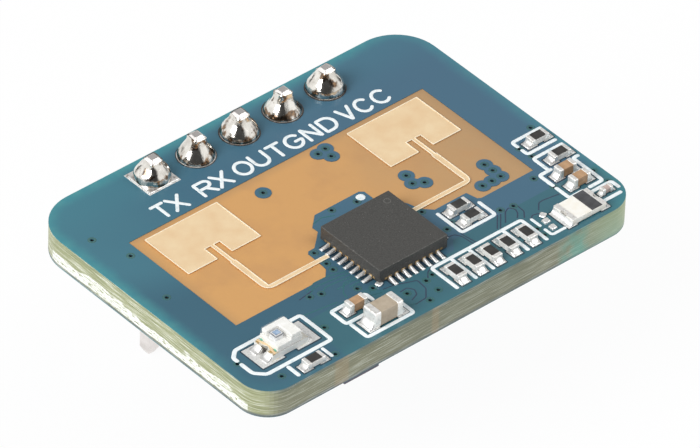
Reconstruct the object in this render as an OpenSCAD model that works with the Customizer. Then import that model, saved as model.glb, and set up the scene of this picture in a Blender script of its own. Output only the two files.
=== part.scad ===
// Microwave presence sensor module: a small circuit board with two patch aerials,
// a radar chip, its helper parts and a five-pin header soldered from below.
// Millimetres. The origin is the middle pin's axis, on the plane where the header's
// plastic strip seats on a host board. +X runs along the header towards the supply
// pin, +Y points at the near board edge and +Z points out of the aerial side.

/* [Board] */
// Length of the board, along the header
board_l = 22; // [21.5:0.25:26]
// Width of the board
board_w = 16; // [15.75:0.25:20]
// Thickness of the bare laminate
laminate_t = 1.46; // [0.8:0.02:2.4]
// Corner radius at the header side
rear_corner_r = 2.2; // [1:0.1:3]
// Corner radius at the side away from the header
front_corner_r = 1.5; // [0.5:0.1:2]
// Thickness of the solder mask
mask_t = 0.03; // [0.02:0.005:0.05]
// Height of a plated pad above the solder mask
pad_proud = 0.02; // [0.01:0.005:0.04]
// Drill for the small vias
via_drill = 0.3; // [0.24:0.02:0.36]
// Copper wall inside a via
via_wall = 0.06; // [0.03:0.01:0.08]

/* [Header] */
// Distance between pins
pitch = 2.54; // [2.4:0.02:2.6]
// Side of a square pin
pin_w = 0.64; // [0.5:0.02:0.66]
// Pin length below the plastic strip
pin_reach = 6; // [3:0.25:12]
// Pin length above the board's face
pin_tail = 1.22; // [1.1:0.02:1.8]
// Length of the bevel at a pin's ends
pin_bevel = 0.3; // [0.1:0.05:0.4]
// Width of the plastic strip
strip_w = 2.5; // [2.2:0.05:2.6]
// Height of the plastic strip
strip_t = 2.54; // [1.5:0.02:3]
// Bevel between neighbouring blocks of the strip
strip_notch = 0.4; // [0.1:0.05:0.6]
// Drill for a header pin
pin_drill = 1.02; // [1.02:0.02:1.2]
// Copper wall inside a header hole
barrel_wall = 0.03; // [0.02:0.005:0.04]
// Radius of the round header pads
pin_pad_r = 0.9; // [0.8:0.02:1]
// Bare pin length above a solder joint
pin_bare = 0.22; // [0.2:0.02:0.4]
// Distance from the pin row to the near board edge
header_inset = 1.4; // [1.3:0.05:2]
// Sideways shift of the pin row from the board's middle
header_shift = 0.08; // [-0.5:0.02:0.5]

/* [Aerials] */
// Length of a patch, along X
patch_l = 4.14; // [3.8:0.02:4.4]
// Width of a patch, along Y
patch_w = 2.98; // [2.6:0.02:3.1]
// Distance between the two patches' centres
patch_span = 11.8; // [11.4:0.1:12]
// Distance from the header-side board edge to the patches
patch_inset = 4.52; // [4.5:0.02:4.7]
// Width of the slots beside the feed
slot_w = 0.36; // [0.25:0.01:0.45]
// Depth of the slots beside the feed
slot_d = 0.86; // [0.5:0.02:1.2]
// Width of the narrow part of the feed
feed_neck_w = 0.16; // [0.12:0.01:0.24]
// Width of the feed line between the patch and the bend
feed_w = 0.27; // [0.24:0.01:0.36]
// Width of the feed line between the bend and the chip
feed_leg_w = 0.21; // [0.16:0.01:0.24]
// Length of the narrow part of the feed below the patch
feed_neck_l = 0.56; // [0.4:0.02:0.8]
// Bare border between the patches and the solder mask
window_gap = 0.65; // [0.4:0.01:0.65]

/* [Radar chip] */
// Side of the square package
chip_w = 4; // [3.8:0.02:4.1]
// Height of the package
chip_t = 0.75; // [0.6:0.01:0.9]
// Thickness of the lead frame
lead_t = 0.2; // [0.12:0.01:0.25]
// Side of the square pad under the chip
paddle_w = 2.7; // [2.2:0.05:2.8]
// Length of a lead's pad outside the package
lead_pad_out = 0.48; // [0.3:0.02:0.5]

/* [Light sensor] */
// Length of the light sensor
sensor_l = 2; // [1.9:0.02:2.1]
// Width of the light sensor
sensor_w = 1.25; // [1.1:0.01:1.35]
// Thickness of its base
sensor_base_t = 0.3; // [0.2:0.01:0.4]
// Height of its clear window
sensor_window_t = 0.6; // [0.4:0.01:0.8]
// Length of the clear window at its foot
sensor_window_l = 1.54; // [1.3:0.02:1.54]
// Radius of the half-round notches at its ends
notch_r = 0.22; // [0.16:0.01:0.22]

/* [Chip aerial] */
// Length of the chip aerial
chip_aerial_l = 2; // [1.9:0.02:2.1]
// Width of the chip aerial
chip_aerial_w = 1.3; // [1.2:0.01:1.34]
// Height of the chip aerial
chip_aerial_t = 0.35; // [0.3:0.01:0.5]
// Width of the dark stripe across it
stripe_w = 0.65; // [0.4:0.01:0.7]

/* [Resistors and capacitors] */
// Length of a small resistor or capacitor
small_l = 1; // [0.96:0.01:1.04]
// Width of a small resistor or capacitor
small_w = 0.5; // [0.46:0.01:0.52]
// Height of a small resistor
resistor_t = 0.34; // [0.3:0.01:0.38]
// Height of a small capacitor
small_cap_t = 0.5; // [0.45:0.01:0.55]
// Length of the large capacitor
large_cap_l = 1.65; // [1.55:0.01:1.7]
// Width of the large capacitor
large_cap_w = 0.87; // [0.8:0.01:0.9]
// Height of the large capacitor
large_cap_t = 0.85; // [0.75:0.01:0.9]
// Thickness of the metal on a part's ends
end_metal_t = 0.025; // [0.015:0.005:0.04]

/* [Rear side] */
// Side of the square controller chip
controller_w = 4; // [3.8:0.02:4.1]
// Height of the controller chip
controller_t = 0.75; // [0.6:0.01:0.9]
// Distance between the controller's leads
controller_pitch = 0.5; // [0.48:0.01:0.52]
// Length of the crystal
crystal_l = 2; // [1.9:0.02:2.1]
// Width of the crystal
crystal_w = 1.6; // [1.5:0.02:1.7]
// Height of the crystal
crystal_t = 0.5; // [0.4:0.01:0.6]
// Length of the voltage regulator's body
regulator_l = 2.9; // [2.8:0.02:3]
// Width of the voltage regulator's body
regulator_w = 1.6; // [1.5:0.02:1.7]
// Height of the voltage regulator
regulator_t = 1.1; // [0.9:0.02:1.2]

/* [Hidden] */

$fn = 48;
EXTRA = 0.2; // how far a cutter reaches past what it cuts
PIN_INDEX = [-2, -1, 0, 1, 2]; // the five pins, counted from the middle one
ARC_STEPS = 12; // straight steps in a rounded corner

// Heights in the part's own frame
pad_t = mask_t + pad_proud; // thickness of a plated pad on the laminate
rear_z = strip_t + pad_t; // the laminate's rear face
face_z = rear_z + laminate_t; // the laminate's front face
pin_top = face_z + mask_t + pin_tail;
joint_top = pin_top - pin_bare;

// Board frame: the middle of the laminate's front face, seen from above
board_x = -header_shift;
board_y = header_inset - board_w / 2;
west = -board_l / 2;
east = board_l / 2;
south = -board_w / 2;
north = board_w / 2;
header_y = north - header_inset;

// Radar chip
chip_x = -0.04;
chip_y = -3.32;
chip_gap = 0.02; // between the package and the pads
leads_a_side = 8;
lead_pitch = chip_w / (leads_a_side + 2); // a side holds its leads and one pitch at each end
lead_w = lead_pitch / 2;
lead_l = lead_pitch;
lead_pad_in = 0.3; // a lead's pad under the package
square_foot_t = 0.12; // solder over the square pad
dimple_r = 0.16;
dimple_depth = 0.04;
dimple_inset = 0.55; // from the package's sides to the dimple
tie_w = 0.12; // width of a tie bar
tie_corner = 0.32; // from the package's corner to a tie bar's end

// Aerials, placed from the header-side edge and joined to the chip
patch_x = -0.08; // middle between the patches
patch_top = north - patch_inset;
patch_mid = patch_top - patch_w / 2;
patch_low = patch_top - patch_w;
feed_y = chip_y + 0.9; // both feed lines run at this height
feed_low_y = patch_low - feed_neck_l;
feed_end = chip_w / 2 + lead_pad_out; // from the chip's centre to a feed line's end
bend_r = 0.42; // outer radius of the receive feed's bend
feed_bend = 0.4; // bevel of the transmit feed's bend

// Light sensor
sensor_x = west + 2.95;
sensor_y = south + 2.32;
sensor_pad_l = 1.26;
sensor_pad_w = 1.48;
sensor_pad_gap = 0.76; // between the two pads
sensor_film = 0.02; // metal film on the base's ends
sensor_film_l = 0.36; // how far the film reaches over the base
window_slope = 0.17; // how far each end of the window leans in
die_w = 0.36;
die_t = 0.12;
die_shift = [0.1, 0.1];

// Chip aerial
chip_aerial_x = east - 2.76;
chip_aerial_y = south + 0.95;
stripe_shift = 0.47; // from the middle to the stripe
stripe_t = 0.02;
aerial_end_l = 0.25; // length of an end terminal
aerial_notch_r = 0.2;

// End terminals and pads of resistors and capacitors
resistor_end_l = 0.2; // metal at each end of a resistor
resistor_coat_l = 0.6; // black glaze
resistor_coat_t = 0.025;
small_cap_end_l = 0.24;
large_cap_end_l = 0.38;
pad_overhang = 0.25; // how far a pad reaches past the part's end
large_overhang = 0.32;
pad_under = 0.3; // how far a pad reaches under the part
pad_side = 0.02; // how far a pad reaches past the part's side

// Small parts on the front: [x, y, turn]
FRONT_RESISTORS = [
  [west + 3.25, south + 0.5, 0],
  [0.98, south + 1.07, 90], [2.04, south + 1.07, 90], [3.07, south + 1.07, 90],
  [4.05, south + 1.07, 90], [5.16, south + 1.07, 90],
  [chip_x + 4.14, chip_y - 0.3, 0], [chip_x + 4.14, chip_y - 1.18, 0],
  [east - 0.94, north - 10.22, 0], [east - 0.93, north - 11.68, 0]
];
FRONT_SMALL_CAPS = [
  [chip_x - 3.84, south + 2.15, 0],
  [east - 1.52, south + 3.3, 0], [east - 1.48, south + 2.4, 0]
];
LARGE_CAP = [chip_x - 3.35, south + 0.91, 0];
TINY_CAP = [east - 0.98, south + 1.17, 0];
tiny_l = 0.6;
tiny_w = 0.3;
tiny_t = 0.3;
tiny_end_l = 0.15;
tiny_overhang = 0.14;
// Bare pads with no part on them: [x, y, length, width]
SPARE_PADS = [[6.55, south + 1.3, 0.34, 0.3], [6.5, south + 0.8, 0.3, 0.32]];

// Rear side, seen through the board from above
controller_x = 1.6;
controller_y = -1.2;
controller_leads_a_side = 6;
controller_paddle_w = 2.5;
crystal_x = west + 5.9;
crystal_y = south + 1.06;
crystal_lid_t = 0.08;
crystal_lid_inset = 0.12;
crystal_pad = [0.75, 0.65];
regulator_x = east - 4.2;
regulator_y = north - 4.6;
regulator_pitch = 0.95;
regulator_lead_w = 0.4;
regulator_lead_t = 0.14;
regulator_lead_out = 0.6; // how far a lead's foot reaches past the body
regulator_gap = 0.08; // under the body
REAR_RESISTORS = [
  [controller_x - 3.4, controller_y + 1.4, 90], [controller_x - 3.4, controller_y - 0.2, 90],
  [west + 3.2, north - 6.2, 0], [west + 3.2, north - 7.4, 0]
];
REAR_SMALL_CAPS = [
  [controller_x + 3.6, controller_y - 1.6, 90], [controller_x + 3.6, controller_y - 3.2, 90],
  [crystal_x - 2.1, crystal_y + 0.6, 90], [crystal_x + 2.1, crystal_y + 0.6, 90],
  [regulator_x - 3, regulator_y, 90]
];

// Vias under solder mask: distances are [x, y] on the board
VIAS = [
  [west + 1.15, north - 3.03], [west + 1.78, north - 4.93], [west + 1.18, north - 8.1],
  [-0.29, -0.12], [0.97, -0.38], [-2.82, -1.87], [-2.88, -2.76], [-2.92, -3.25],
  [-4.95, -4.02], [-4.41, -4.18], [-2.95, -4.9], [-2.4, -5.3], [-5.8, -5.98],
  [west + 0.67, south + 2.55], [west + 1.63, south + 0.72], [-6.6, south + 0.37],
  [-1.48, -6.53], [-0.25, -6.4], [0.23, -6.25], [-0.25, south + 0.8], [-1, south + 0.5],
  [2.73, -2.72], [2.8, -4.33], [3.28, -4.08], [5.52, -4.83], [6.17, -4.97],
  [east - 2.85, -4.12], [east - 1.86, -2.9], [east - 1.95, -2.15],
  [east - 0.55, -1.35], [east - 0.4, south + 2.63], [east - 0.4, south + 1.67],
  [east - 2.55, -5.1], [5.92, south + 1.17], [5.9, south + 0.65]
];
// Vias in the bare window, each under its own disc of solder mask
ISLAND_VIAS = [
  [-1.85, 2.72], [1.83, 3.24], [2.33, 3.33], [2.19, 2.76],
  [3.88, -0.38], [3.73, -0.97], [4.2, -1.25],
  [7.1, -2], [7.12, -2.53], [7.12, -3.06], [6.6, -3.06], [6.05, -3.06]
];
island_r = 0.38;

// White printed outlines round the small parts: [line width, points]
legend_t = 0.015;
FRONT_LEGEND = [
  [0.24, [[sensor_x - 2.18, sensor_y + 0.38], [sensor_x - 2.18, sensor_y + 0.62],
          [sensor_x - 1.79, sensor_y + 0.98], [sensor_x + 1.96, sensor_y + 0.98],
          [sensor_x + 1.96, sensor_y - 1.11], [sensor_x - 1.74, sensor_y - 1.11],
          [sensor_x - 2.18, sensor_y - 0.66], [sensor_x - 2.18, sensor_y + 0.06]]],
  [0.24, [[west + 2.24, south + 0.98], [west + 2.24, south + 0.32]]],
  [0.2, [[west + 4.2, south + 0.98], [west + 4.2, south + 0.38]]],
  [0.24, [[-2.93, south + 2.13], [-2.93, south + 2.62], [-4.91, south + 2.62],
          [-4.91, south + 1.58], [-2.95, south + 1.58]]],
  [0.24, [[-4.78, south + 1.4], [-4.78, south + 0.33], [-2.1, south + 0.33], [-2.1, south + 1.1]]],
  [0.22, [[0.47, south + 0.38], [0.47, south + 2.08], [5.76, south + 2.08], [5.76, south + 0.38]]],
  [0.24, [[1.57, south + 1.95], [1.57, south + 0.38]]],
  [0.24, [[2.6, south + 1.95], [2.6, south + 0.38]]],
  [0.26, [[4.64, south + 1.95], [4.64, south + 0.38]]],
  [0.22, [[5.14, -3.85], [5.14, -4.92], [3.17, -4.92], [3.17, -3.3]]],
  [0.22, [[east - 1.93, north - 10], [east - 1.93, north - 9.63], [east - 0.25, north - 9.63]]],
  [0.22, [[east - 1.93, north - 10.34], [east - 1.93, north - 10.68], [east - 0.28, north - 10.68]]],
  [0.22, [[east - 1.95, north - 12.02], [east - 1.95, north - 11.08], [east - 0.25, north - 11.08]]],
  [0.24, [[east - 1.85, south + 3.87], [east - 2.53, south + 3.87], [east - 2.53, south + 2.98]]],
  [0.24, [[east - 2.53, south + 2.72], [east - 2.53, south + 1.87], [east - 1.75, south + 1.87]]],
  [0.2, [[east - 0.25, south + 3.85], [east - 0.54, south + 3.85], [east - 0.54, south + 1.87],
         [east - 1.3, south + 1.87]]],
  [0.2, [[east - 1.4, south + 1.57], [east - 0.3, south + 1.57], [east - 0.3, south + 1.1]]],
  [0.2, [[east - 1.4, south + 0.75], [east - 0.5, south + 0.75]]],
  [0.16, [[6.15, south + 1.8], [6.15, south + 1.25]]],
  [0.16, [[6.15, south + 0.9], [6.15, south + 0.45], [6.9, south + 0.45]]]
];
pin_one_dot = [chip_x + 1.33, chip_y + 3.07];
pin_one_dot_r = 0.22;

// Straight steps round a corner of radius r at c, from angle a to angle b
function arc(c, r, a, b) =
  [for (i = [0:ARC_STEPS]) let(t = a + (b - a) * i / ARC_STEPS) [c.x + r * cos(t), c.y + r * sin(t)]];

// The board's outline
board_outline = concat(
  arc([east - rear_corner_r, north - rear_corner_r], rear_corner_r, 0, 90),
  arc([west + rear_corner_r, north - rear_corner_r], rear_corner_r, 90, 180),
  arc([west + front_corner_r, south + front_corner_r], front_corner_r, 180, 270),
  arc([east - front_corner_r, south + front_corner_r], front_corner_r, 270, 360)
);

// The bare window in the solder mask: outside round the patches, inside round the chip,
// where its points are distances from the chip's centre, from the right round to the left
WINDOW_ROUND_CHIP = [
  [5.48, -0.34], [5.31, -0.24], [5.17, 0.35], [3.31, 0.35], [2.83, 0.85], [2.7, 1.37],
  [2.49, 1.77], [1.72, 2.12], [1.72, 3.27], [1.54, 3.42], [-1.06, 3.42], [-1.71, 2.82],
  [-1.69, 2.47], [-2.56, 1.7], [-2.91, 1.7], [-3.04, 1.57], [-3.04, 1.22], [-3.06, 0.77],
  [-3.11, 0.29], [-3.51, -0.13]
];
window_top_gap = 0.34; // from the patches up to the mask
window_left = patch_x - patch_span / 2 - patch_l / 2 - window_gap;
window_right = patch_x + patch_span / 2 + patch_l / 2 + window_gap;
window_outline = concat(
  [[window_left, patch_top + window_top_gap], [window_right, patch_top + window_top_gap],
   [window_right, chip_y + WINDOW_ROUND_CHIP[0].y]],
  [for (p = WINDOW_ROUND_CHIP) p + [chip_x, chip_y]],
  [[window_left, chip_y + WINDOW_ROUND_CHIP[len(WINDOW_ROUND_CHIP) - 1].y]]
);

// A flat line of width w through points p, with mitred corners and square ends
function unit(v) = v / norm(v);
function side(v) = [-v.y, v.x];
function miter(p, i, w) =
  let(
    before = unit(p[i] - p[max(i - 1, 0)] + (i == 0 ? p[1] - p[0] : [0, 0])),
    after = unit(p[min(i + 1, len(p) - 1)] - p[i] + (i == len(p) - 1 ? p[i] - p[i - 1] : [0, 0])),
    mean = unit(side(before) + side(after))
  ) mean * w / 2 / (mean * side(before));
function ribbon(p, w) = concat(
  [for (i = [0:len(p) - 1]) p[i] - miter(p, i, w)],
  [for (i = [len(p) - 1:-1:0]) p[i] + miter(p, i, w)]
);

// Frames that parts are drawn in: +Z leaves the board's face
module on_front() translate([board_x, board_y, face_z]) children();
module on_rear() translate([board_x, board_y, rear_z]) mirror([0, 0, 1]) children();
module at_spot(s) translate([s[0], s[1], 0]) rotate(s[2]) children();
module at_pin(i) translate([i * pitch, 0, 0]) children();
module at_chip() translate([chip_x, chip_y, 0]) children();
module at_controller() translate([controller_x, controller_y, 0]) children();
module at_sensor() translate([sensor_x, sensor_y, 0]) children();
module at_chip_aerial() translate([chip_aerial_x, chip_aerial_y, 0]) children();
module at_crystal() translate([crystal_x, crystal_y, 0]) children();
module at_regulator() translate([regulator_x, regulator_y, 0]) children();
module both_ends() for (s = [0, 180]) rotate(s) children();

// A box with its foot at height z, centred on X and Y
module block(l, w, t, z = 0) translate([-l / 2, -w / 2, z]) cube([l, w, t]);
module sheet(points, t, z = 0) translate([0, 0, z]) linear_extrude(t) polygon(points);

// A solder fillet that climbs the wall x = 0 and runs out along +X
module fillet(run, rise, width) {
  curve = [for (i = [0:6]) let(a = 15 * i) [run * (1 - sin(a)), rise * (1 - cos(a))]];
  translate([0, width / 2, 0]) rotate([90, 0, 0]) linear_extrude(width) polygon(concat([[0, 0]], curve));
}

// Places of the four rows of leads round a square chip
module lead_rows(count, spacing, half_side)
  for (turn = [0:90:270], k = [0:count - 1])
    rotate(turn) translate([half_side, (k - (count - 1) / 2) * spacing, 0]) children();

// Flat shapes of the pads, one set for each side of the board
module end_pads_2d(l, w, overhang)
  for (s = [-1, 1])
    translate([s * (l / 2 + (overhang - pad_under) / 2), 0])
      square([overhang + pad_under, w + 2 * pad_side], center = true);
module lead_pads_2d(count, spacing, half_side)
  lead_rows(count, spacing, half_side)
    translate([-lead_pad_in, -lead_w / 2]) square([lead_pad_in + lead_pad_out, lead_w]);
module at_spot_2d(s) translate([s[0], s[1]]) rotate(s[2]) children();
module front_pads_2d() {
  translate([chip_x, chip_y]) {
    difference() {
      lead_pads_2d(leads_a_side, lead_pitch, chip_w / 2);
      translate([-chip_x, -chip_y]) aerial_cutters_2d();
    }
    square(paddle_w, center = true);
  }
  translate([sensor_x, sensor_y]) for (s = [-1, 1])
    translate([s * (sensor_pad_gap + sensor_pad_l) / 2, 0]) square([sensor_pad_l, sensor_pad_w], center = true);
  translate([chip_aerial_x, chip_aerial_y]) end_pads_2d(chip_aerial_l, chip_aerial_w, pad_overhang);
  for (s = concat(FRONT_RESISTORS, FRONT_SMALL_CAPS)) at_spot_2d(s) end_pads_2d(small_l, small_w, pad_overhang);
  at_spot_2d(LARGE_CAP) end_pads_2d(large_cap_l, large_cap_w, large_overhang);
  at_spot_2d(TINY_CAP) for (s = [-1, 1])
    translate([s * (tiny_l / 2 + (tiny_overhang - tiny_end_l) / 2), 0])
      square([tiny_overhang + tiny_end_l, tiny_w], center = true);
  for (s = SPARE_PADS) translate([s[0], s[1]]) square([s[2], s[3]], center = true);
}
module rear_pads_2d() {
  translate([controller_x, controller_y]) {
    lead_pads_2d(controller_leads_a_side, controller_pitch, controller_w / 2);
    square(controller_paddle_w, center = true);
  }
  translate([crystal_x, crystal_y]) crystal_feet_2d(0.1);
  translate([regulator_x, regulator_y]) regulator_feet_2d(0.1);
  for (s = concat(REAR_RESISTORS, REAR_SMALL_CAPS)) at_spot_2d(s) end_pads_2d(small_l, small_w, pad_overhang);
}
module crystal_feet_2d(grow)
  for (sx = [-1, 1], sy = [-1, 1])
    translate([sx * (crystal_l - crystal_pad.x) / 2, sy * (crystal_w - crystal_pad.y) / 2])
      translate([sx * grow / 2, sy * grow / 2]) square(crystal_pad + [grow, grow], center = true);
module regulator_feet_2d(grow)
  for (p = [[-1, -1], [0, -1], [1, -1], [-1, 1], [1, 1]])
    translate([p.x * regulator_pitch, p.y * (regulator_w + regulator_lead_out) / 2])
      square([regulator_lead_w + grow, regulator_lead_out + grow], center = true);
module header_pads_2d()
  translate([header_shift, header_y]) for (i = PIN_INDEX) translate([i * pitch, 0])
    if (i == PIN_INDEX[0]) square(2 * pin_pad_r, center = true);
    else circle(pin_pad_r);
module via_holes_2d(r) for (v = concat(VIAS, ISLAND_VIAS)) translate(v) circle(r);

// Copper shape of one aerial with its feed line
module patch_2d(middle_x, feed_x)
  difference() {
    translate([middle_x - patch_l / 2, patch_low]) square([patch_l, patch_w]);
    for (s = [-1, 1])
      translate([feed_x + s * (feed_neck_w + slot_w) / 2, patch_low + slot_d / 2 - EXTRA / 2])
        square([slot_w, slot_d + EXTRA], center = true);
  }
transmit_x = patch_x - patch_span / 2;
receive_x = patch_x + patch_span / 2;
leg_low = feed_y - feed_leg_w / 2;
leg_high = feed_y + feed_leg_w / 2;
transmit_feed = [[transmit_x - feed_w / 2, feed_low_y], [transmit_x - feed_w / 2, leg_low + feed_bend],
  [transmit_x - feed_w / 2 + feed_bend, leg_low], [chip_x - feed_end, leg_low], [chip_x - feed_end, leg_high],
  [transmit_x + feed_w / 2, leg_high], [transmit_x + feed_w / 2, feed_low_y]];
receive_bend = arc([receive_x + feed_w / 2 - bend_r, leg_low + bend_r], bend_r, -90, 0);
receive_feed = concat([[chip_x + feed_end, leg_low]], receive_bend, [[receive_x + feed_w / 2, feed_low_y],
  [receive_x - feed_w / 2, feed_low_y], [receive_x - feed_w / 2, leg_high], [chip_x + feed_end, leg_high]]);
module neck_2d(x)
  translate([x - feed_neck_w / 2, feed_low_y - feed_w / 2])
    square([feed_neck_w, patch_low + slot_d / 2 - feed_low_y + feed_w / 2]);
module transmit_2d() {
  patch_2d(transmit_x, transmit_x);
  neck_2d(transmit_x);
  polygon(transmit_feed);
}
module receive_2d() {
  patch_2d(receive_x, receive_x);
  neck_2d(receive_x);
  polygon(receive_feed);
}
module aerial_cutters_2d() {
  polygon(transmit_feed);
  polygon(receive_feed);
}

// Board
module laminate()
  color("darkkhaki") on_front() translate([0, 0, -laminate_t])
    difference() {
      sheet(board_outline, laminate_t);
      for (v = concat(VIAS, ISLAND_VIAS))
        translate([v.x, v.y, -EXTRA]) cylinder(d = via_drill, h = laminate_t + 2 * EXTRA);
      for (i = PIN_INDEX)
        translate([header_shift + i * pitch, header_y, -EXTRA])
          cylinder(d = pin_drill, h = laminate_t + 2 * EXTRA);
    }

// The mask covers the board round a bare window, and each via in the window has a disc
module front_solder_mask()
  color("steelblue") on_front() linear_extrude(mask_t) difference() {
    union() {
      difference() {
        polygon(board_outline);
        polygon(window_outline);
      }
      for (v = ISLAND_VIAS) translate(v) circle(island_r);
    }
    front_pads_2d();
    header_pads_2d();
    aerial_cutters_2d();
    via_holes_2d(via_drill / 2 - via_wall);
  }

module rear_solder_mask()
  color("steelblue") on_rear() linear_extrude(mask_t) difference() {
    polygon(board_outline);
    rear_pads_2d();
    header_pads_2d();
    via_holes_2d(via_drill / 2 - via_wall);
  }

module transmit_aerial() color("wheat") on_front() linear_extrude(pad_t) transmit_2d();
module receive_aerial() color("wheat") on_front() linear_extrude(pad_t) receive_2d();
module front_pads() color("silver") on_front() linear_extrude(pad_t) front_pads_2d();
module rear_pads() color("silver") on_rear() linear_extrude(pad_t) rear_pads_2d();

module via_barrels()
  color("peru") on_front() for (v = concat(VIAS, ISLAND_VIAS))
    translate([v.x, v.y, -laminate_t]) difference() {
      cylinder(d = via_drill, h = laminate_t);
      translate([0, 0, -EXTRA]) cylinder(d = via_drill - 2 * via_wall, h = laminate_t + 2 * EXTRA);
    }

// Plated header holes: a copper tube with a pad at each end, the first pad square
module header_hole_barrels()
  color("gold") for (i = PIN_INDEX) at_pin(i) difference() {
    union() {
      translate([0, 0, rear_z]) cylinder(d = pin_drill, h = laminate_t);
      for (z = [rear_z - pad_t, face_z])
        if (i == PIN_INDEX[0]) block(2 * pin_pad_r, 2 * pin_pad_r, pad_t, z);
        else translate([0, 0, z]) cylinder(r = pin_pad_r, h = pad_t);
    }
    translate([0, 0, rear_z - pad_t - EXTRA])
      cylinder(d = pin_drill - 2 * barrel_wall, h = laminate_t + 2 * pad_t + 2 * EXTRA);
  }

module front_legend()
  color("white") on_front() {
    for (line = FRONT_LEGEND) sheet(ribbon(line[1], line[0]), legend_t, mask_t);
    translate([pin_one_dot.x, pin_one_dot.y, mask_t]) cylinder(r = pin_one_dot_r, h = legend_t);
  }

// Header: square pins through a plastic strip
module header_strip()
  color("dimgray") linear_extrude(strip_t) difference() {
    polygon(strip_outline());
    for (i = PIN_INDEX) translate([i * pitch, 0]) square(pin_w, center = true);
  }
function strip_side(s) = [for (i = PIN_INDEX, e = [-1, 1], inner = [0, 1])
  let(along = e * (pitch / 2 - (e < 0 ? inner : 1 - inner) * strip_notch),
      across = strip_w / 2 - ((e < 0 ? 1 - inner : inner) * strip_notch))
  s * [i * pitch + along, across]];
function strip_outline() = concat(strip_side(1), strip_side(-1));

module pin() {
  low = -pin_reach;
  tip_w = pin_w * 0.55;
  profile = [
    [-tip_w / 2, low], [tip_w / 2, low], [pin_w / 2, low + pin_bevel], [pin_w / 2, pin_top - pin_bevel / 2],
    [tip_w / 2, pin_top], [-tip_w / 2, pin_top], [-pin_w / 2, pin_top - pin_bevel / 2],
    [-pin_w / 2, low + pin_bevel]
  ];
  intersection() {
    rotate([90, 0, 0]) translate([0, 0, -pin_w]) linear_extrude(2 * pin_w) polygon(profile);
    rotate([90, 0, 90]) translate([0, 0, -pin_w]) linear_extrude(2 * pin_w) polygon(profile);
  }
}
module pin_tx() color("gainsboro") at_pin(-2) pin();
module pin_rx() color("gainsboro") at_pin(-1) pin();
module pin_out() color("gainsboro") at_pin(0) pin();
module pin_ground() color("gainsboro") at_pin(1) pin();
module pin_supply() color("gainsboro") at_pin(2) pin();

// A soldered pin: solder fills the plated hole and climbs the pin in a bell
module solder_joint(base_r, square_foot = false) {
  plug_r = pin_drill / 2 - barrel_wall;
  top_r = pin_w / sqrt(2) + 0.015;
  foot = face_z + pad_t;
  bell = [for (i = [0:10]) let(t = i / 10)
    [top_r + (base_r - top_r) * (1 + cos(180 * pow(t, 1.2))) / 2, foot + (joint_top - foot) * t]];
  difference() {
    union() {
      rotate_extrude() polygon(concat([[0, rear_z - pad_t], [plug_r, rear_z - pad_t], [plug_r, foot]],
        bell, [[0, joint_top]]));
      if (square_foot) block(2 * base_r, 2 * base_r, square_foot_t, foot);
    }
    block(pin_w, pin_w, pin_top);
  }
}
module solder_joint_tx() color("lightgray") at_pin(-2) solder_joint(pin_pad_r - 0.01, true);
module solder_joint_rx() color("lightgray") at_pin(-1) solder_joint(pin_pad_r - 0.03);
module solder_joint_out() color("lightgray") at_pin(0) solder_joint(pin_pad_r - 0.02);
module solder_joint_ground() color("lightgray") at_pin(1) solder_joint(pin_pad_r - 0.02);
module solder_joint_supply() color("lightgray") at_pin(2) solder_joint(pin_pad_r - 0.01);

// A flat moulded chip with leads under its sides. The frame is its centre on the board.
module chip_leads(count, spacing, w)
  lead_rows(count, spacing, w / 2) translate([-lead_l, -lead_w / 2, pad_t]) cube([lead_l, lead_w, lead_t]);
module chip_mould(count, spacing, w, t, pad)
  difference() {
    block(w, w, t - chip_gap, pad_t + chip_gap);
    chip_leads(count, spacing, w);
    chip_paddle(w, pad);
    translate([w / 2 - dimple_inset, w / 2 - dimple_inset, pad_t + t - dimple_depth])
      cylinder(r = dimple_r, h = EXTRA);
  }
// The pad under a chip, with tie bars that end in its corners
module chip_paddle(w, pad) {
  block(pad, pad, lead_t, pad_t);
  half_t = lead_t / 2;
  for (turn = [0:90:270]) rotate(turn) {
    reach = w / 2 - tie_corner;
    sheet(ribbon([[pad / 2 - tie_w, pad / 2 - tie_w], [reach, reach]], tie_w), half_t, pad_t + half_t);
    translate([reach - tie_w, reach - tie_w, pad_t + half_t]) cube([tie_corner + tie_w, tie_w, half_t]);
    translate([reach - tie_w, reach - tie_w, pad_t + half_t]) cube([tie_w, tie_corner + tie_w, half_t]);
  }
}
module chip_solder(count, spacing, w)
  lead_rows(count, spacing, w / 2) translate([0, 0, pad_t]) fillet(lead_pad_out, lead_t, lead_w);

module radar_chip_body()
  color("dimgray") on_front() at_chip() chip_mould(leads_a_side, lead_pitch, chip_w, chip_t, paddle_w);
module radar_chip_leads()
  color("goldenrod") on_front() at_chip() chip_leads(leads_a_side, lead_pitch, chip_w);
module radar_chip_paddle()
  color("goldenrod") on_front() at_chip() chip_paddle(chip_w, paddle_w);
module radar_chip_solder()
  color("lightgray") on_front() at_chip() chip_solder(leads_a_side, lead_pitch, chip_w);

// Light sensor: notched base with metal ends, a die and a clear window
module notched_base(l, w, t, r, z)
  difference() {
    block(l, w, t, z);
    for (s = [-1, 1]) translate([s * l / 2, 0, z - EXTRA]) cylinder(r = r, h = t + 2 * EXTRA);
  }
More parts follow.
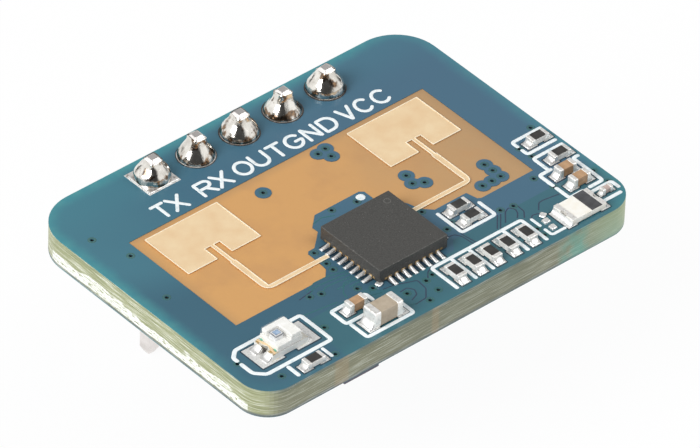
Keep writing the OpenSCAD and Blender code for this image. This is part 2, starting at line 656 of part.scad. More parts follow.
// Metal film over the top, the underside and the notch of each end
module notched_ends(l, w, t, r, film, film_l, z)
  for (s = [-1, 1]) difference() {
    translate([s * (l - film_l) / 2, 0, 0]) block(film_l, w, t + 2 * film, z);
    notched_base(l, w, t, r, z + film);
    translate([s * l / 2, 0, z - EXTRA]) cylinder(r = r - film, h = t + 2 * film + 2 * EXTRA);
  }
sensor_base_z = pad_t + sensor_film;
sensor_top_z = sensor_base_z + sensor_base_t;
module light_sensor_base()
  color("ivory") on_front() at_sensor() notched_base(sensor_l, sensor_w, sensor_base_t, notch_r, sensor_base_z);
module sensor_ends() notched_ends(sensor_l, sensor_w, sensor_base_t, notch_r, sensor_film, sensor_film_l, pad_t);
module light_sensor_terminals() color("gold") on_front() at_sensor() sensor_ends();
module light_sensor_die()
  color("royalblue") on_front() at_sensor() translate(die_shift) block(die_w, die_w, die_t, sensor_top_z);
module light_sensor_window() {
  foot = sensor_window_l / 2;
  top = foot - window_slope;
  color("whitesmoke", 0.6) on_front() at_sensor() difference() {
    translate([0, sensor_w / 2, sensor_top_z]) rotate([90, 0, 0]) linear_extrude(sensor_w)
      polygon([[-foot, 0], [foot, 0], [top, sensor_window_t], [-top, sensor_window_t]]);
    translate(die_shift) block(die_w, die_w, die_t, sensor_top_z);
    sensor_ends();
  }
}
module light_sensor_solder()
  color("lightgray") on_front() at_sensor() both_ends()
    translate([sensor_l / 2, 0, pad_t])
      fillet(sensor_pad_gap / 2 + sensor_pad_l - sensor_l / 2, sensor_base_t, sensor_w);

// Chip aerial: a ceramic block with a dark stripe and notched metal ends
chip_aerial_core_t = chip_aerial_t - 2 * end_metal_t;
module chip_aerial_body()
  color("linen") on_front() at_chip_aerial()
    notched_base(chip_aerial_l, chip_aerial_w, chip_aerial_core_t, aerial_notch_r, pad_t + end_metal_t);
module chip_aerial_terminals()
  color("silver") on_front() at_chip_aerial()
    notched_ends(chip_aerial_l, chip_aerial_w, chip_aerial_core_t, aerial_notch_r, end_metal_t, aerial_end_l, pad_t);
module chip_aerial_stripe()
  color("dimgray") on_front() at_chip_aerial() translate([stripe_shift - stripe_w / 2, -chip_aerial_w / 2,
    pad_t + end_metal_t + chip_aerial_core_t]) cube([chip_aerial_l / 2 - aerial_end_l - stripe_shift + stripe_w / 2,
    chip_aerial_w, stripe_t]);
module chip_aerial_solder()
  color("lightgray") on_front() at_chip_aerial() both_ends()
    translate([chip_aerial_l / 2, 0, pad_t]) fillet(pad_overhang, chip_aerial_t * 0.7, chip_aerial_w);

// Resistor: a ceramic chip with metal round its ends and black glaze on top
module resistor_core() {
  block(small_l - 2 * end_metal_t, small_w, resistor_t - 2 * end_metal_t, pad_t + end_metal_t);
}
module resistor_coat()
  block(resistor_coat_l, small_w - 0.03, resistor_coat_t, pad_t + resistor_t - end_metal_t);
module resistor_ends()
  for (s = [-1, 1]) difference() {
    translate([s * (small_l - resistor_end_l) / 2, 0, 0]) block(resistor_end_l, small_w, resistor_t, pad_t);
    resistor_core();
  }
// Capacitor: a ceramic block with its ends dipped in metal
module capacitor_core(l, w, t)
  block(l - 2 * end_metal_t, w - 2 * end_metal_t, t - 2 * end_metal_t, pad_t + end_metal_t);
module capacitor_ends(l, w, t, end_l)
  for (s = [-1, 1]) difference() {
    translate([s * (l - end_l) / 2, 0, 0]) block(end_l, w, t, pad_t);
    capacitor_core(l, w, t);
  }
module end_solder(l, w, rise, overhang)
  both_ends() translate([l / 2, 0, pad_t]) fillet(overhang, rise, w);
resistor_rise = resistor_t * 0.75;
small_cap_rise = small_cap_t * 0.7;
large_cap_rise = large_cap_t * 0.6;

module resistor_cores() color("whitesmoke") on_front() for (s = FRONT_RESISTORS) at_spot(s) resistor_core();
module resistor_coats() color("black") on_front() for (s = FRONT_RESISTORS) at_spot(s) resistor_coat();
module resistor_terminals() color("silver") on_front() for (s = FRONT_RESISTORS) at_spot(s) resistor_ends();
module capacitor_cores()
  color("burlywood") on_front() {
    for (s = FRONT_SMALL_CAPS) at_spot(s) capacitor_core(small_l, small_w, small_cap_t);
    at_spot(LARGE_CAP) capacitor_core(large_cap_l, large_cap_w, large_cap_t);
    at_spot(TINY_CAP) capacitor_core(tiny_l, tiny_w, tiny_t);
  }
module capacitor_terminals()
  color("silver") on_front() {
    for (s = FRONT_SMALL_CAPS) at_spot(s) capacitor_ends(small_l, small_w, small_cap_t, small_cap_end_l);
    at_spot(LARGE_CAP) capacitor_ends(large_cap_l, large_cap_w, large_cap_t, large_cap_end_l);
    at_spot(TINY_CAP) capacitor_ends(tiny_l, tiny_w, tiny_t, tiny_end_l);
  }
module passive_solder()
  color("lightgray") on_front() {
    for (s = FRONT_RESISTORS) at_spot(s) end_solder(small_l, small_w, resistor_rise, pad_overhang);
    for (s = FRONT_SMALL_CAPS) at_spot(s) end_solder(small_l, small_w, small_cap_rise, pad_overhang);
    at_spot(LARGE_CAP) end_solder(large_cap_l, large_cap_w, large_cap_rise, large_overhang);
    at_spot(TINY_CAP) end_solder(tiny_l, tiny_w, tiny_t * 0.6, tiny_overhang);
  }

// Rear side
module controller_body()
  color("dimgray") on_rear() at_controller()
    chip_mould(controller_leads_a_side, controller_pitch, controller_w, controller_t, controller_paddle_w);
module controller_leads()
  color("goldenrod") on_rear() at_controller() chip_leads(controller_leads_a_side, controller_pitch, controller_w);
module controller_paddle()
  color("goldenrod") on_rear() at_controller() chip_paddle(controller_w, controller_paddle_w);
module controller_solder()
  color("lightgray") on_rear() at_controller()
    chip_solder(controller_leads_a_side, controller_pitch, controller_w);

module crystal_case()
  color("dimgray") on_rear() at_crystal() block(crystal_l, crystal_w, crystal_t - crystal_lid_t, pad_t);
module crystal_lid()
  color("silver") on_rear() at_crystal()
    block(crystal_l - crystal_lid_inset, crystal_w - crystal_lid_inset, crystal_lid_t,
      pad_t + crystal_t - crystal_lid_t);
module crystal_solder()
  color("lightgray") on_rear() at_crystal()
    for (sx = [-1, 1], sy = [-1, 1])
      translate([sx * crystal_l / 2, sy * (crystal_w - crystal_pad.y) / 2, pad_t]) rotate(sx < 0 ? 180 : 0)
        fillet(0.1, 0.2, crystal_pad.y);

// Voltage regulator: a moulded body with five bent leads
module regulator_lead(out)
  rotate([90, 0, 90]) translate([0, 0, -regulator_lead_w / 2]) linear_extrude(regulator_lead_w) {
    t = regulator_lead_t;
    mid = pad_t + regulator_t * 0.45;
    polygon([[0, mid], [out * 0.35, mid], [out * 0.35, pad_t], [out, pad_t], [out, pad_t + t],
      [out * 0.35 + t, pad_t + t], [out * 0.35 + t, mid + t], [0, mid + t]]);
  }
module each_regulator_lead()
  for (p = [[-1, -1], [0, -1], [1, -1], [-1, 1], [1, 1]])
    translate([p.x * regulator_pitch, p.y * regulator_w / 2, 0]) rotate(p.y < 0 ? 180 : 0) children();
module regulator_body()
  color("dimgray") on_rear() at_regulator()
    block(regulator_l, regulator_w, regulator_t - regulator_gap, pad_t + regulator_gap);
module regulator_leads()
  color("silver") on_rear() at_regulator() each_regulator_lead() regulator_lead(regulator_lead_out);
module regulator_solder()
  color("lightgray") on_rear() at_regulator() each_regulator_lead()
    translate([0, regulator_lead_out, pad_t]) rotate(90) fillet(0.05, 0.1, regulator_lead_w);

module rear_resistor_cores() color("whitesmoke") on_rear() for (s = REAR_RESISTORS) at_spot(s) resistor_core();
module rear_resistor_coats() color("black") on_rear() for (s = REAR_RESISTORS) at_spot(s) resistor_coat();
module rear_resistor_terminals() color("silver") on_rear() for (s = REAR_RESISTORS) at_spot(s) resistor_ends();
module rear_capacitor_cores()
  color("burlywood") on_rear() for (s = REAR_SMALL_CAPS) at_spot(s) capacitor_core(small_l, small_w, small_cap_t);
module rear_capacitor_terminals()
  color("silver") on_rear() for (s = REAR_SMALL_CAPS) at_spot(s)
    capacitor_ends(small_l, small_w, small_cap_t, small_cap_end_l);
module rear_passive_solder()
  color("lightgray") on_rear() {
    for (s = REAR_RESISTORS) at_spot(s) end_solder(small_l, small_w, resistor_rise, pad_overhang);
    for (s = REAR_SMALL_CAPS) at_spot(s) end_solder(small_l, small_w, small_cap_rise, pad_overhang);
  }

laminate();
front_solder_mask();
rear_solder_mask();
transmit_aerial();
receive_aerial();
front_pads();
rear_pads();
via_barrels();
header_hole_barrels();
front_legend();
header_strip();
pin_tx();
pin_rx();
pin_out();
pin_ground();
pin_supply();
solder_joint_tx();
solder_joint_rx();
solder_joint_out();
solder_joint_ground();
solder_joint_supply();
radar_chip_body();
radar_chip_leads();
radar_chip_paddle();
radar_chip_solder();
light_sensor_base();
light_sensor_terminals();
light_sensor_window();
light_sensor_die();
light_sensor_solder();
chip_aerial_body();
chip_aerial_stripe();
chip_aerial_terminals();
chip_aerial_solder();
resistor_cores();
resistor_coats();
resistor_terminals();
capacitor_cores();
capacitor_terminals();
passive_solder();
controller_body();
controller_leads();
controller_paddle();
controller_solder();
crystal_case();
crystal_lid();
crystal_solder();
regulator_body();
regulator_leads();
regulator_solder();
rear_resistor_cores();
rear_resistor_coats();
rear_resistor_terminals();
rear_capacitor_cores();
rear_capacitor_terminals();
rear_passive_solder();
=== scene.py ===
"""Looks of the microwave presence sensor board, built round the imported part.

The row frame is in metres, with the middle pin's axis as its origin. Most pieces here are
drawn in millimetres from the middle of the board's blue face, and set_down() moves them.
"""
import math

import bmesh
import bpy
from mathutils import Matrix, Vector, noise


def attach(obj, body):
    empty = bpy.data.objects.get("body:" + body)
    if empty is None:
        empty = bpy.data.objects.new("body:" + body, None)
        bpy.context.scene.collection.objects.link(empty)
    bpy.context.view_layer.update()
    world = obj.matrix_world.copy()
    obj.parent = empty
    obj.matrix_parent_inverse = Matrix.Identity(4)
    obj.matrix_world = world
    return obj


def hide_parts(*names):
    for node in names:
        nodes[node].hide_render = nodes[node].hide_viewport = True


MM = 0.001

# The board's own frame: the middle of the blue face, in the row frame, in millimetres
BOARD_ORIGIN = Vector((-0.08, -6.6, 4.08))
TO_ROW_FRAME = Matrix.Scale(MM, 4) @ Matrix.Translation(BOARD_ORIGIN)
HALF_LENGTH, HALF_WIDTH = 11.0, 8.0
PIN_X = [-5.0, -2.46, 0.08, 2.62, 5.16]
HEADER_Y = 6.6
CHIP = Vector((-0.04, -3.32))
PAD_TOP = 0.02  # the front pads' top above the blue face

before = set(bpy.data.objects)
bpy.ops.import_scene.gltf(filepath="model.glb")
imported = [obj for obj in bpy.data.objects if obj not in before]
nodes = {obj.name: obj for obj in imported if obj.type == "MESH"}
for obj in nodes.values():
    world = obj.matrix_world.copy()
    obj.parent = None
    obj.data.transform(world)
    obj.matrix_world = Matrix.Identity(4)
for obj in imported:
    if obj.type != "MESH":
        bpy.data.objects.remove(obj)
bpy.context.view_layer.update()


# Colours and nodes

def hex_colour(value):
    """An sRGB hex value as linear red, green, blue and alpha."""
    parts = [int(value[i:i + 2], 16) / 255 for i in (1, 3, 5)]
    return [c / 12.92 if c <= 0.04045 else ((c + 0.055) / 1.055) ** 2.4 for c in parts] + [1.0]


def add(material, kind, sockets=None, **settings):
    """Adds a node and returns its outputs; sockets gives an input a value, or the output that feeds it."""
    node = material.node_tree.nodes.new("ShaderNode" + kind)
    for name, value in settings.items():
        setattr(node, name, value)
    for name, value in (sockets or {}).items():
        if isinstance(value, bpy.types.NodeSocket):
            material.node_tree.links.new(value, node.inputs[name])
        else:
            node.inputs[name].default_value = value
    return node.outputs


def new_material(name):
    """An empty material, and the Object coordinates in which its patterns lie, in metres."""
    material = bpy.data.materials.new(name)
    material.use_nodes = True
    material.node_tree.nodes.clear()
    return material, add(material, "TexCoord")["Object"]


def finished(material, colour, relief=None, depth_mm=0.0, **values):
    """Ends a material in one Principled shader; relief is a height pattern, depth_mm deep."""
    sockets = {key.replace("_", " "): value for key, value in values.items()}
    sockets["Base Color"] = colour
    if relief is not None:
        bump = {"Height": relief, "Strength": 1.0, "Distance": depth_mm * MM}
        sockets["Normal"] = add(material, "Bump", bump)[0]
    add(material, "OutputMaterial", {"Surface": add(material, "BsdfPrincipled", sockets)[0]})
    return material


def patches(material, place, size_mm, detail=3.0, stretch=(1, 1, 1)):
    """Soft irregular patches about size_mm across, from 0 to 1."""
    spread = add(material, "Mapping", {"Vector": place, "Scale": [s / (size_mm * MM) for s in stretch]})[0]
    return add(material, "TexNoise", {"Vector": spread, "Scale": 1.0, "Detail": detail})["Fac"]


def specks(material, place, size_mm, detail, above):
    """1 in scattered specks, where fine patches rise above a level."""
    fine = patches(material, place, size_mm, detail)
    return add(material, "Math", {0: fine, 1: above}, operation="GREATER_THAN")[0]


def shades(material, factor, *stops):
    """Colours along a factor, each stop a position and a hex colour."""
    colour = add(material, "ValToRGB", {"Fac": factor})["Color"]
    band = colour.node.color_ramp.elements
    band.remove(band[1])
    band[0].position, band[0].color = stops[0][0], hex_colour(stops[0][1])
    for position, shade in stops[1:]:
        band.new(position).color = hex_colour(shade)
    return colour


def together(material, *shares):
    """The product of shares, sockets or plain numbers."""
    product = shares[0]
    for share in shares[1:]:
        product = add(material, "Math", {0: product, 1: share}, operation="MULTIPLY")[0]
    return product


def either(material, *shares):
    """The largest of the shares."""
    largest = shares[0]
    for share in shares[1:]:
        largest = add(material, "Math", {0: largest, 1: share}, operation="MAXIMUM")[0]
    return largest


def scaled(material, value, scale, shift):
    """The value times scale, plus shift."""
    return add(material, "Math", {0: value, 1: scale, 2: shift}, operation="MULTIPLY_ADD")[0]


def less(material, value, other):
    """The value less another."""
    return add(material, "Math", {0: value, 1: other}, operation="SUBTRACT")[0]


def fade(material, value, start, end):
    """0 at start and before it, 1 at end and past it, smooth between; start may be the larger."""
    return add(material, "MapRange", {"Value": value, "From Min": start, "From Max": end},
               interpolation_type="SMOOTHSTEP")[0]


def stripe(material, value, middle, half, soft):
    """1 within half of the middle value, 0 beyond it, with soft sides."""
    away = add(material, "Math", {0: less(material, value, middle)}, operation="ABSOLUTE")[0]
    return fade(material, away, half + soft, half)


def wavering(material, value, place, size_mm, by):
    """The value moved up and down in patches, by half of by at most, so that no border is straight."""
    sway = scaled(material, patches(material, place, size_mm), by, -by / 2)
    return add(material, "Math", {0: value, 1: sway}, operation="ADD")[0]


def laid_over(material, under, over, *shares):
    """The colour over, a hex value or a socket, laid on the colour under as far as all shares allow."""
    if isinstance(over, str):
        over = hex_colour(over)
    mixed = add(material, "Mix", {"Factor": together(material, *shares), 6: under, 7: over}, data_type="RGBA")
    return mixed[2]


def facing(material):
    """The X, Y and Z of the surface's own direction."""
    return add(material, "SeparateXYZ", {"Vector": add(material, "NewGeometry")["Normal"]})


# Finishes, each named for the real material. x, y and z are in metres in the row frame

def board_edge_distance(material, place, corner):
    """How far past the inset corner box a point lies: equal to corner at the board's edge."""
    middle = [BOARD_ORIGIN.x * MM, BOARD_ORIGIN.y * MM, 0]
    inset = [(HALF_LENGTH - corner) * MM, (HALF_WIDTH - corner) * MM, 1.0]
    way = add(material, "VectorMath", {0: place, 1: middle}, operation="SUBTRACT")[0]
    way = add(material, "VectorMath", {0: way}, operation="ABSOLUTE")[0]
    way = add(material, "VectorMath", {0: way, 1: inset}, operation="SUBTRACT")[0]
    way = add(material, "VectorMath", {0: way, 1: [0, 0, 0]}, operation="MAXIMUM")[0]
    return add(material, "VectorMath", {0: way}, operation="LENGTH")["Value"]


def bare_below(material, x, y):
    """1 where no copper lies below the mask: the area near the long front edge, with a stepped border."""
    border = scaled(material, fade(material, x, 0.0019, 0.0025), 0.00057, -0.0122)
    border = scaled(material, fade(material, x, -0.0022, -0.0028), 0.00045, border)
    south = fade(material, less(material, border, y), 0.0, 0.00006)
    return together(material, south, fade(material, x, -0.0066, -0.0062))


def solder_mask(name, west, middle, east, near, bare, rim):
    """Photo-imaged solder mask: a thin glossy coat, blue over copper and greener over bare laminate.

    west, middle and east colour it along the board, near its near corner, bare where no copper lies
    below, and rim its edge.
    """
    material, place = new_material(name)
    x, y, _ = add(material, "SeparateXYZ", {"Vector": place})
    blue = shades(material, fade(material, wavering(material, x, place, 6.0, 0.006), -0.0105, 0.004),
                  (0.0, west), (0.35, middle), (1.0, east))
    # Greyer towards the near corner, where x and y are both low
    slanted = scaled(material, x, 0.45, y)
    blue = laid_over(material, blue, near, fade(material, slanted, -0.0085, -0.0118), 0.75)
    blue = laid_over(material, blue, bare, bare_below(material, x, y), 0.8)
    blue = laid_over(material, blue, rim, fade(material, y, -0.002, 0.001), 0.16)
    # A green rim where the copper stops short of the edge, faint along the front
    corner = 1.9
    reach = wavering(material, board_edge_distance(material, place, corner), place, 0.8, 0.0003)
    strong = either(material, fade(material, y, -0.0135, -0.0085), fade(material, x, 0.0088, 0.0102))
    edge = together(material, fade(material, reach, (corner - 0.75) * MM, (corner + 0.1) * MM),
                    scaled(material, strong, 0.68, 0.12),
                    scaled(material, fade(material, x, 0.0102, 0.008), 0.45, 0.55))
    rim_colour = shades(material, patches(material, place, 0.5), (0.3, rim), (0.7, "#4f9a9d"))
    return finished(material, laid_over(material, blue, rim_colour, edge),
                    patches(material, place, 0.12, 2.0), 0.0012,
                    Roughness=0.34, IOR=1.5, Specular_IOR_Level=0.4)


def fibreglass():
    """Sawn glass-fibre epoxy: tan and smooth on its face, streaked grey-green on its cut edge."""
    material, place = new_material("glass_epoxy_laminate")
    x, y, z = add(material, "SeparateXYZ", {"Vector": place})
    normal = facing(material)
    level = add(material, "MapRange", {"Value": z, "From Min": 2.59 * MM, "From Max": 4.05 * MM})[0]

    # The open window: evenly tan, a little darker towards the supply end, and darker at its borders by the
    # mask: painted shade
    face = shades(material, fade(material, wavering(material, x, place, 2.5, 0.004), -0.008, 0.009),
                  (0.0, "#d4a063"), (0.55, "#d29f64"), (1.0, "#b8946a"))
    stained = fade(material, patches(material, place, 1.6), 0.45, 0.7)
    face = laid_over(material, face, "#c09060", stained, 0.35)
    # Painted shade along the window's borders, next to the mask's edge
    border = either(material, fade(material, x, -0.0081, -0.0091), fade(material, y, -0.0034, -0.0026),
                    fade(material, x, 0.0078, 0.0087))
    face = laid_over(material, face, "#a88660", border, 0.55)

    # The sawn edge: plies as long streaks, resin-rich near the top, smeared mask at the top, and a dark band
    # at the bottom that is smeared mask with painted shadow
    streak = patches(material, place, 0.045, 4.0, stretch=(0.035, 0.035, 1.0))
    plies = shades(material, level, (0.0, "#4f5a62"), (0.06, "#6b757a"), (0.13, "#87876c"),
                   (0.5, "#8f8f74"), (0.85, "#7d8063"), (0.95, "#66726b"), (1.0, "#4d7580"))
    pale = shades(material, streak, (0.36, "#555b44"), (0.5, "#8b8d74"), (0.66, "#d8dccf"))
    cut = laid_over(material, plies, pale, streak, 0.75)
    cut = laid_over(material, cut, shades(material, level, (0.0, "#c8cabb"), (1.0, "#dfe2d6")),
                    specks(material, place, 0.07, 2.0, 0.7), 0.4)
    # Along the long side: green where the saw left thin resin, a teal smear, and yellower past the corner
    front = fade(material, normal["Y"], -0.1, -0.6)
    thin_resin = fade(material, x, 0.0062, 0.0098)
    smear = together(material, stripe(material, x, 0.007, 0.0004, 0.0007),
                     fade(material, patches(material, place, 0.8), 0.3, 0.6))
    past_corner = fade(material, x, 0.0094, 0.0106)
    for share, most, low, high in ((thin_resin, 0.62, "#9cc2a8", "#a4b98e"),
                                   (smear, 0.6, "#4fb0a2", "#5aa79a"),
                                   (past_corner, 0.6, "#aebb98", "#b9bd8a")):
        cut = laid_over(material, cut, shades(material, level, (0.0, low), (1.0, high)), share, front, most)
    # Its middle is darker, and two rubbed marks cross it
    cut = laid_over(material, cut, shades(material, streak, (0.3, "#5a6050"), (0.7, "#747a68")),
                    stripe(material, x, 0.001, 0.0025, 0.004), front, 0.3)
    for middle, half in ((-0.00117, 0.0001), (-0.0066, 0.0003)):
        cut = laid_over(material, cut, shades(material, streak, (0.3, "#a98a63"), (0.7, "#c2aa86")),
                        stripe(material, x, middle, half, 0.0002), 0.3)
    # The short side is khaki above, and white below: torn fibre, with painted glare where it faces the key
    # lamp
    khaki = shades(material, streak, (0.36, "#8d9468"), (0.55, "#adb189"), (0.68, "#e4e6d6"))
    cut = laid_over(material, cut, khaki, fade(material, normal["X"], -0.25, -0.8),
                    fade(material, level, 0.05, 0.12), 0.8)
    torn_top = scaled(material, patches(material, place, 0.5, 5.0, stretch=(1, 0.35, 1)), 0.75, 0.06)
    # Partly painted glare: this white is laid only on the side that faces the lamp
    torn_white_and_glare = shades(material, streak, (0.36, "#cfd3bb"), (0.47, "#eef0e6"), (0.6, "#ffffff"))
    cut = laid_over(material, cut, torn_white_and_glare, fade(material, less(material, torn_top, level), -0.03, 0.05),
                    fade(material, level, 0.07, 0.13), fade(material, normal["X"], -0.94, -0.995),
                    fade(material, patches(material, place, 0.09, stretch=(1, 0.3, 1)), 0.36, 0.46))

    upward = fade(material, normal["Z"], 0.4, 0.6)
    weave = patches(material, place, 0.3, 1.0)
    relief = add(material, "Mix", {"Factor": upward, 2: streak, 3: weave})[0]
    return finished(material, laid_over(material, cut, face, upward), relief, 0.01, Roughness=0.45, IOR=1.5)


def gold_foil(name, low, high, metallic):
    """Gold plating over etched copper foil: pale and nearly matt, a little mottled."""
    material, place = new_material(name)
    return finished(material, shades(material, patches(material, place, 0.9), (0.3, low), (0.7, high)),
                    patches(material, place, 0.05, 2.0), 0.002, Roughness=0.45, Metallic=metallic)


def tin(name, low, high, roughness, ripple_mm, depth_mm, metallic=1.0, dark_below=0.25):
    """Reflowed solder or tin plating: bright metal, rippled where it froze, of the low colour in its dips."""
    material, place = new_material(name)
    ripple = patches(material, place, ripple_mm)
    return finished(material, shades(material, ripple, (dark_below, low), (dark_below + 0.25, high)),
                    ripple, depth_mm, Roughness=roughness, Metallic=metallic)


def fluxed_solder():
    """Solder frozen in a smooth bell: mirror-bright tin, with brown flux baked on in streaks and dips."""
    material, place = new_material("reflowed_solder")
    skin = shades(material, patches(material, place, 0.5), (0.3, "#c6c1b8"), (0.6, "#ece9e2"))
    height = add(material, "SeparateXYZ", {"Vector": place})["Z"]
    stain = scaled(material, fade(material, height, 4.55 * MM, 4.15 * MM), 0.12,
                   patches(material, place, 0.42, 5.0, stretch=(1, 1, 0.6)))
    brown = shades(material, patches(material, place, 0.12), (0.35, "#2c1f17"), (0.65, "#94704b"))
    return finished(material, laid_over(material, skin, brown, fade(material, stain, 0.56, 0.65), 0.9),
                    patches(material, place, 0.35), 0.02, Roughness=0.14, Metallic=1.0)


def printed_ink():
    """Screen-printed epoxy ink: matt bluish white, slightly thin in places."""
    material, place = new_material("printed_legend_ink")
    thin = shades(material, patches(material, place, 0.25), (0.2, "#c9dde2"), (0.45, "#f2f7f8"))
    return finished(material, thin, patches(material, place, 0.06), 0.004, Roughness=0.55)


def moulding_epoxy(name, low, high, grain_mm, depth_mm):
    """Moulding compound: dark grey, with the fine grain of a spark-eroded mould, and its rounded edges
    lighter: painted highlight.
    """
    material, place = new_material(name)
    grain = patches(material, place, grain_mm)
    skin = laid_over(material, shades(material, grain, (0.3, low), (0.7, high)),
                     shades(material, grain, (0.3, high), (0.7, "#9b9a96")),
                     specks(material, place, grain_mm * 0.9, 1.0, 0.735), 0.8)
    # Painted highlight: a lighter grey on the rounded edges, where they face up at a slant
    edge_highlight = stripe(material, facing(material)["Z"], 0.62, 0.2, 0.15)
    skin = laid_over(material, skin, shades(material, grain, (0.3, high), (0.7, "#8d8c87")), edge_highlight,
                     fade(material, patches(material, place, 0.16), 0.35, 0.6), 0.55)
    return finished(material, skin, grain, depth_mm, Roughness=0.55, IOR=1.5)


def fired_ceramic(name, low, high, roughness, size_mm=0.3):
    """Fired ceramic or overglaze: even colour with faint clouds and a satin skin."""
    material, place = new_material(name)
    return finished(material, shades(material, patches(material, place, size_mm), (0.3, low), (0.7, high)),
                    patches(material, place, 0.04), 0.003, Roughness=roughness, IOR=1.6)


def cast_resin():
    """Clear cast epoxy over the light sensor: faintly milky, with the chip showing through."""
    material, place = new_material("clear_cast_resin")
    milky = shades(material, patches(material, place, 0.4), (0.3, "#f6f5f0"), (0.7, "#ffffff"))
    return finished(material, milky, Roughness=0.1, IOR=1.5, Alpha=0.1)


def wet_silver_and_gold():
    """Gold film half wetted by solder: white metal that leaves warm gold in patches."""
    material, place = new_material("half_wetted_gold_film")
    film = shades(material, patches(material, place, 0.3),
                  (0.38, "#c9a463"), (0.5, "#e9e4d6"), (0.7, "#f4f2ec"))
    return finished(material, film, patches(material, place, 0.1), 0.006, Roughness=0.4, Metallic=0.6)


MASK = solder_mask("blue_solder_mask", "#447686", "#3e697e", "#476b81", "#395e71", "#3a6973", "#41909a")
GREEN_MASK = solder_mask("green_mask_round_vias",
                         "#456e6c", "#41696a", "#3f6769", "#3a6467", "#3a6766", "#3a7476")
GAP_UNDER_MASK = solder_mask("solder_mask_over_a_gap",
                             "#347074", "#346e72", "#33696e", "#32686c", "#2f5d64", "#357b80")
TRACK_EDGE = solder_mask("solder_mask_over_a_track_edge",
                         "#374a60", "#36465e", "#35425a", "#344258", "#364458", "#357b80")
# Dark mask colours for the gaps round pads and between the chip's leads: painted shade
PAD_GAP_SHADE = solder_mask("painted_shade_in_pad_gaps",
                      "#263f4c", "#243a48", "#243645", "#223644", "#213842", "#2a4a50")
LAMINATE = fibreglass()
GOLD = gold_foil("gold_plated_foil", "#ecca9d", "#f4d9af", 0.1)
# A lighter gold for the foil's edge lip: painted highlight
GOLD_EDGE_HIGHLIGHT = gold_foil("gold_foil_edge_painted_highlight", "#fae6c3", "#fef1d8", 0.0)
GOLD_LEADS = gold_foil("gold_plated_leads", "#a98552", "#d6b986", 0.7)
COPPER = gold_foil("plated_copper_barrel", "#2e3a38", "#4d5a50", 0.3)
SOLDER = fluxed_solder()
FILLET = tin("solder_fillet", "#dcdad5", "#fffefc", 0.32, 0.25, 0.004, 0.7)
FLUXED_FILLET = tin("solder_with_burnt_flux", "#5c4028", "#f6f4f0", 0.3, 0.3, 0.01, 0.7, dark_below=0.24)
# A dark brown laid as painted shade round the joints' feet and in the sensor's notch
DARK_SHADE = fired_ceramic("painted_dark_shade", "#29292a", "#4a3a2c", 0.3, 0.2)
END_METAL = tin("tin_plated_ends", "#dcd8d1", "#fffdf9", 0.36, 0.14, 0.005, 0.6)
PIN_METAL = tin("tinned_brass_pins", "#d6d1cd", "#ebe6e3", 0.36, 1.2, 0.0008)
TINNED = tin("tinned_pads", "#dadad7", "#fdfdfb", 0.5, 0.1, 0.008, 0.7)
INK = printed_ink()
MOULD = moulding_epoxy("chip_moulding_epoxy", "#3d3c3a", "#51504d", 0.06, 0.009)
PALER_MOULD = moulding_epoxy("paler_chip_moulding", "#6b6a66", "#7d7c77", 0.06, 0.004)
STRIP = moulding_epoxy("glass_filled_nylon_strip", "#121213", "#1b1b1c", 0.08, 0.003)
ALUMINA = fired_ceramic("white_alumina", "#dedcd6", "#f1f0ec", 0.5)
GLAZE = fired_ceramic("black_overglaze", "#252423", "#3a3835", 0.35)
TAN_CERAMIC = fired_ceramic("tan_dielectric_ceramic", "#a98462", "#c39c75", 0.4)
PINK_CERAMIC = fired_ceramic("pinkish_dielectric_ceramic", "#b9a49c", "#cfbcb4", 0.4)
PALE_TAN_CERAMIC = fired_ceramic("pale_dielectric_ceramic", "#ac9c86", "#bdae99", 0.4)
CREAM = fired_ceramic("cream_ceramic", "#faf4e6", "#fffdf6", 0.4)
STRIPE = fired_ceramic("printed_grey_glaze", "#3d3d3f", "#525255", 0.45)
DARK_CERAMIC = fired_ceramic("dark_fired_ceramic", "#4b4757", "#5c5a6b", 0.5)
WHITE_RESIN = fired_ceramic("white_resin_board", "#f3f1ea", "#fdfcf9", 0.45)
DIE = fired_ceramic("polished_silicon", "#6f93bd", "#a3bedb", 0.2, 0.15)
DIE_FRAME = fired_ceramic("die_frame_metal", "#5a5e66", "#7b7f86", 0.35, 0.15)
DIE_WALL = fired_ceramic("sawn_silicon_wall", "#c9cbce", "#f1f2f2", 0.35, 0.1)
GREEN_INK = fired_ceramic("green_polarity_ink", "#4fb592", "#7fd0b2", 0.5, 0.1)
WETTED = wet_silver_and_gold()
RESIN = cast_resin()




# Pieces

def finish_piece(mesh, name, material, slot_name, *stands_for):
    """Makes a mesh a piece that rides on the part, and hides the CAD nodes it stands for."""
    mesh.materials.clear()
    mesh.materials.append(material)
    piece = bpy.data.objects.new(name, mesh)
    bpy.context.scene.collection.objects.link(piece)
    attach(piece, "root")
    if stands_for:
        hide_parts(*stands_for)
    return piece


def set_down(shape, name, material, slot_name, *stands_for):
    """Makes a piece of a bmesh drawn in the board's own millimetres."""
    bmesh.ops.transform(shape, verts=shape.verts, matrix=TO_ROW_FRAME)
    mesh = bpy.data.meshes.new(name)
    shape.to_mesh(mesh)
    shape.free()
    finish_piece(mesh, name, material, slot_name, *stands_for)


def softened(node, name, material, slot_name, round_mm):
    """A copy of a CAD node with its sharp edges rounded, as moulded, plated or fired parts have."""
    shape = bmesh.new()
    shape.from_mesh(nodes[node].data)
    bmesh.ops.remove_doubles(shape, verts=shape.verts, dist=1e-7)
    bmesh.ops.dissolve_limit(shape, angle_limit=math.radians(1), verts=shape.verts, edges=shape.edges)
    mesh = bpy.data.meshes.new(name)
    shape.to_mesh(mesh)
    shape.free()
    edge = finish_piece(mesh, name, material, slot_name, node).modifiers.new("rounded edges", "BEVEL")
    edge.width = round_mm * MM
    edge.segments = 3
    edge.limit_method = "ANGLE"
    edge.angle_limit = math.radians(35)
    edge.use_clamp_overlap = True


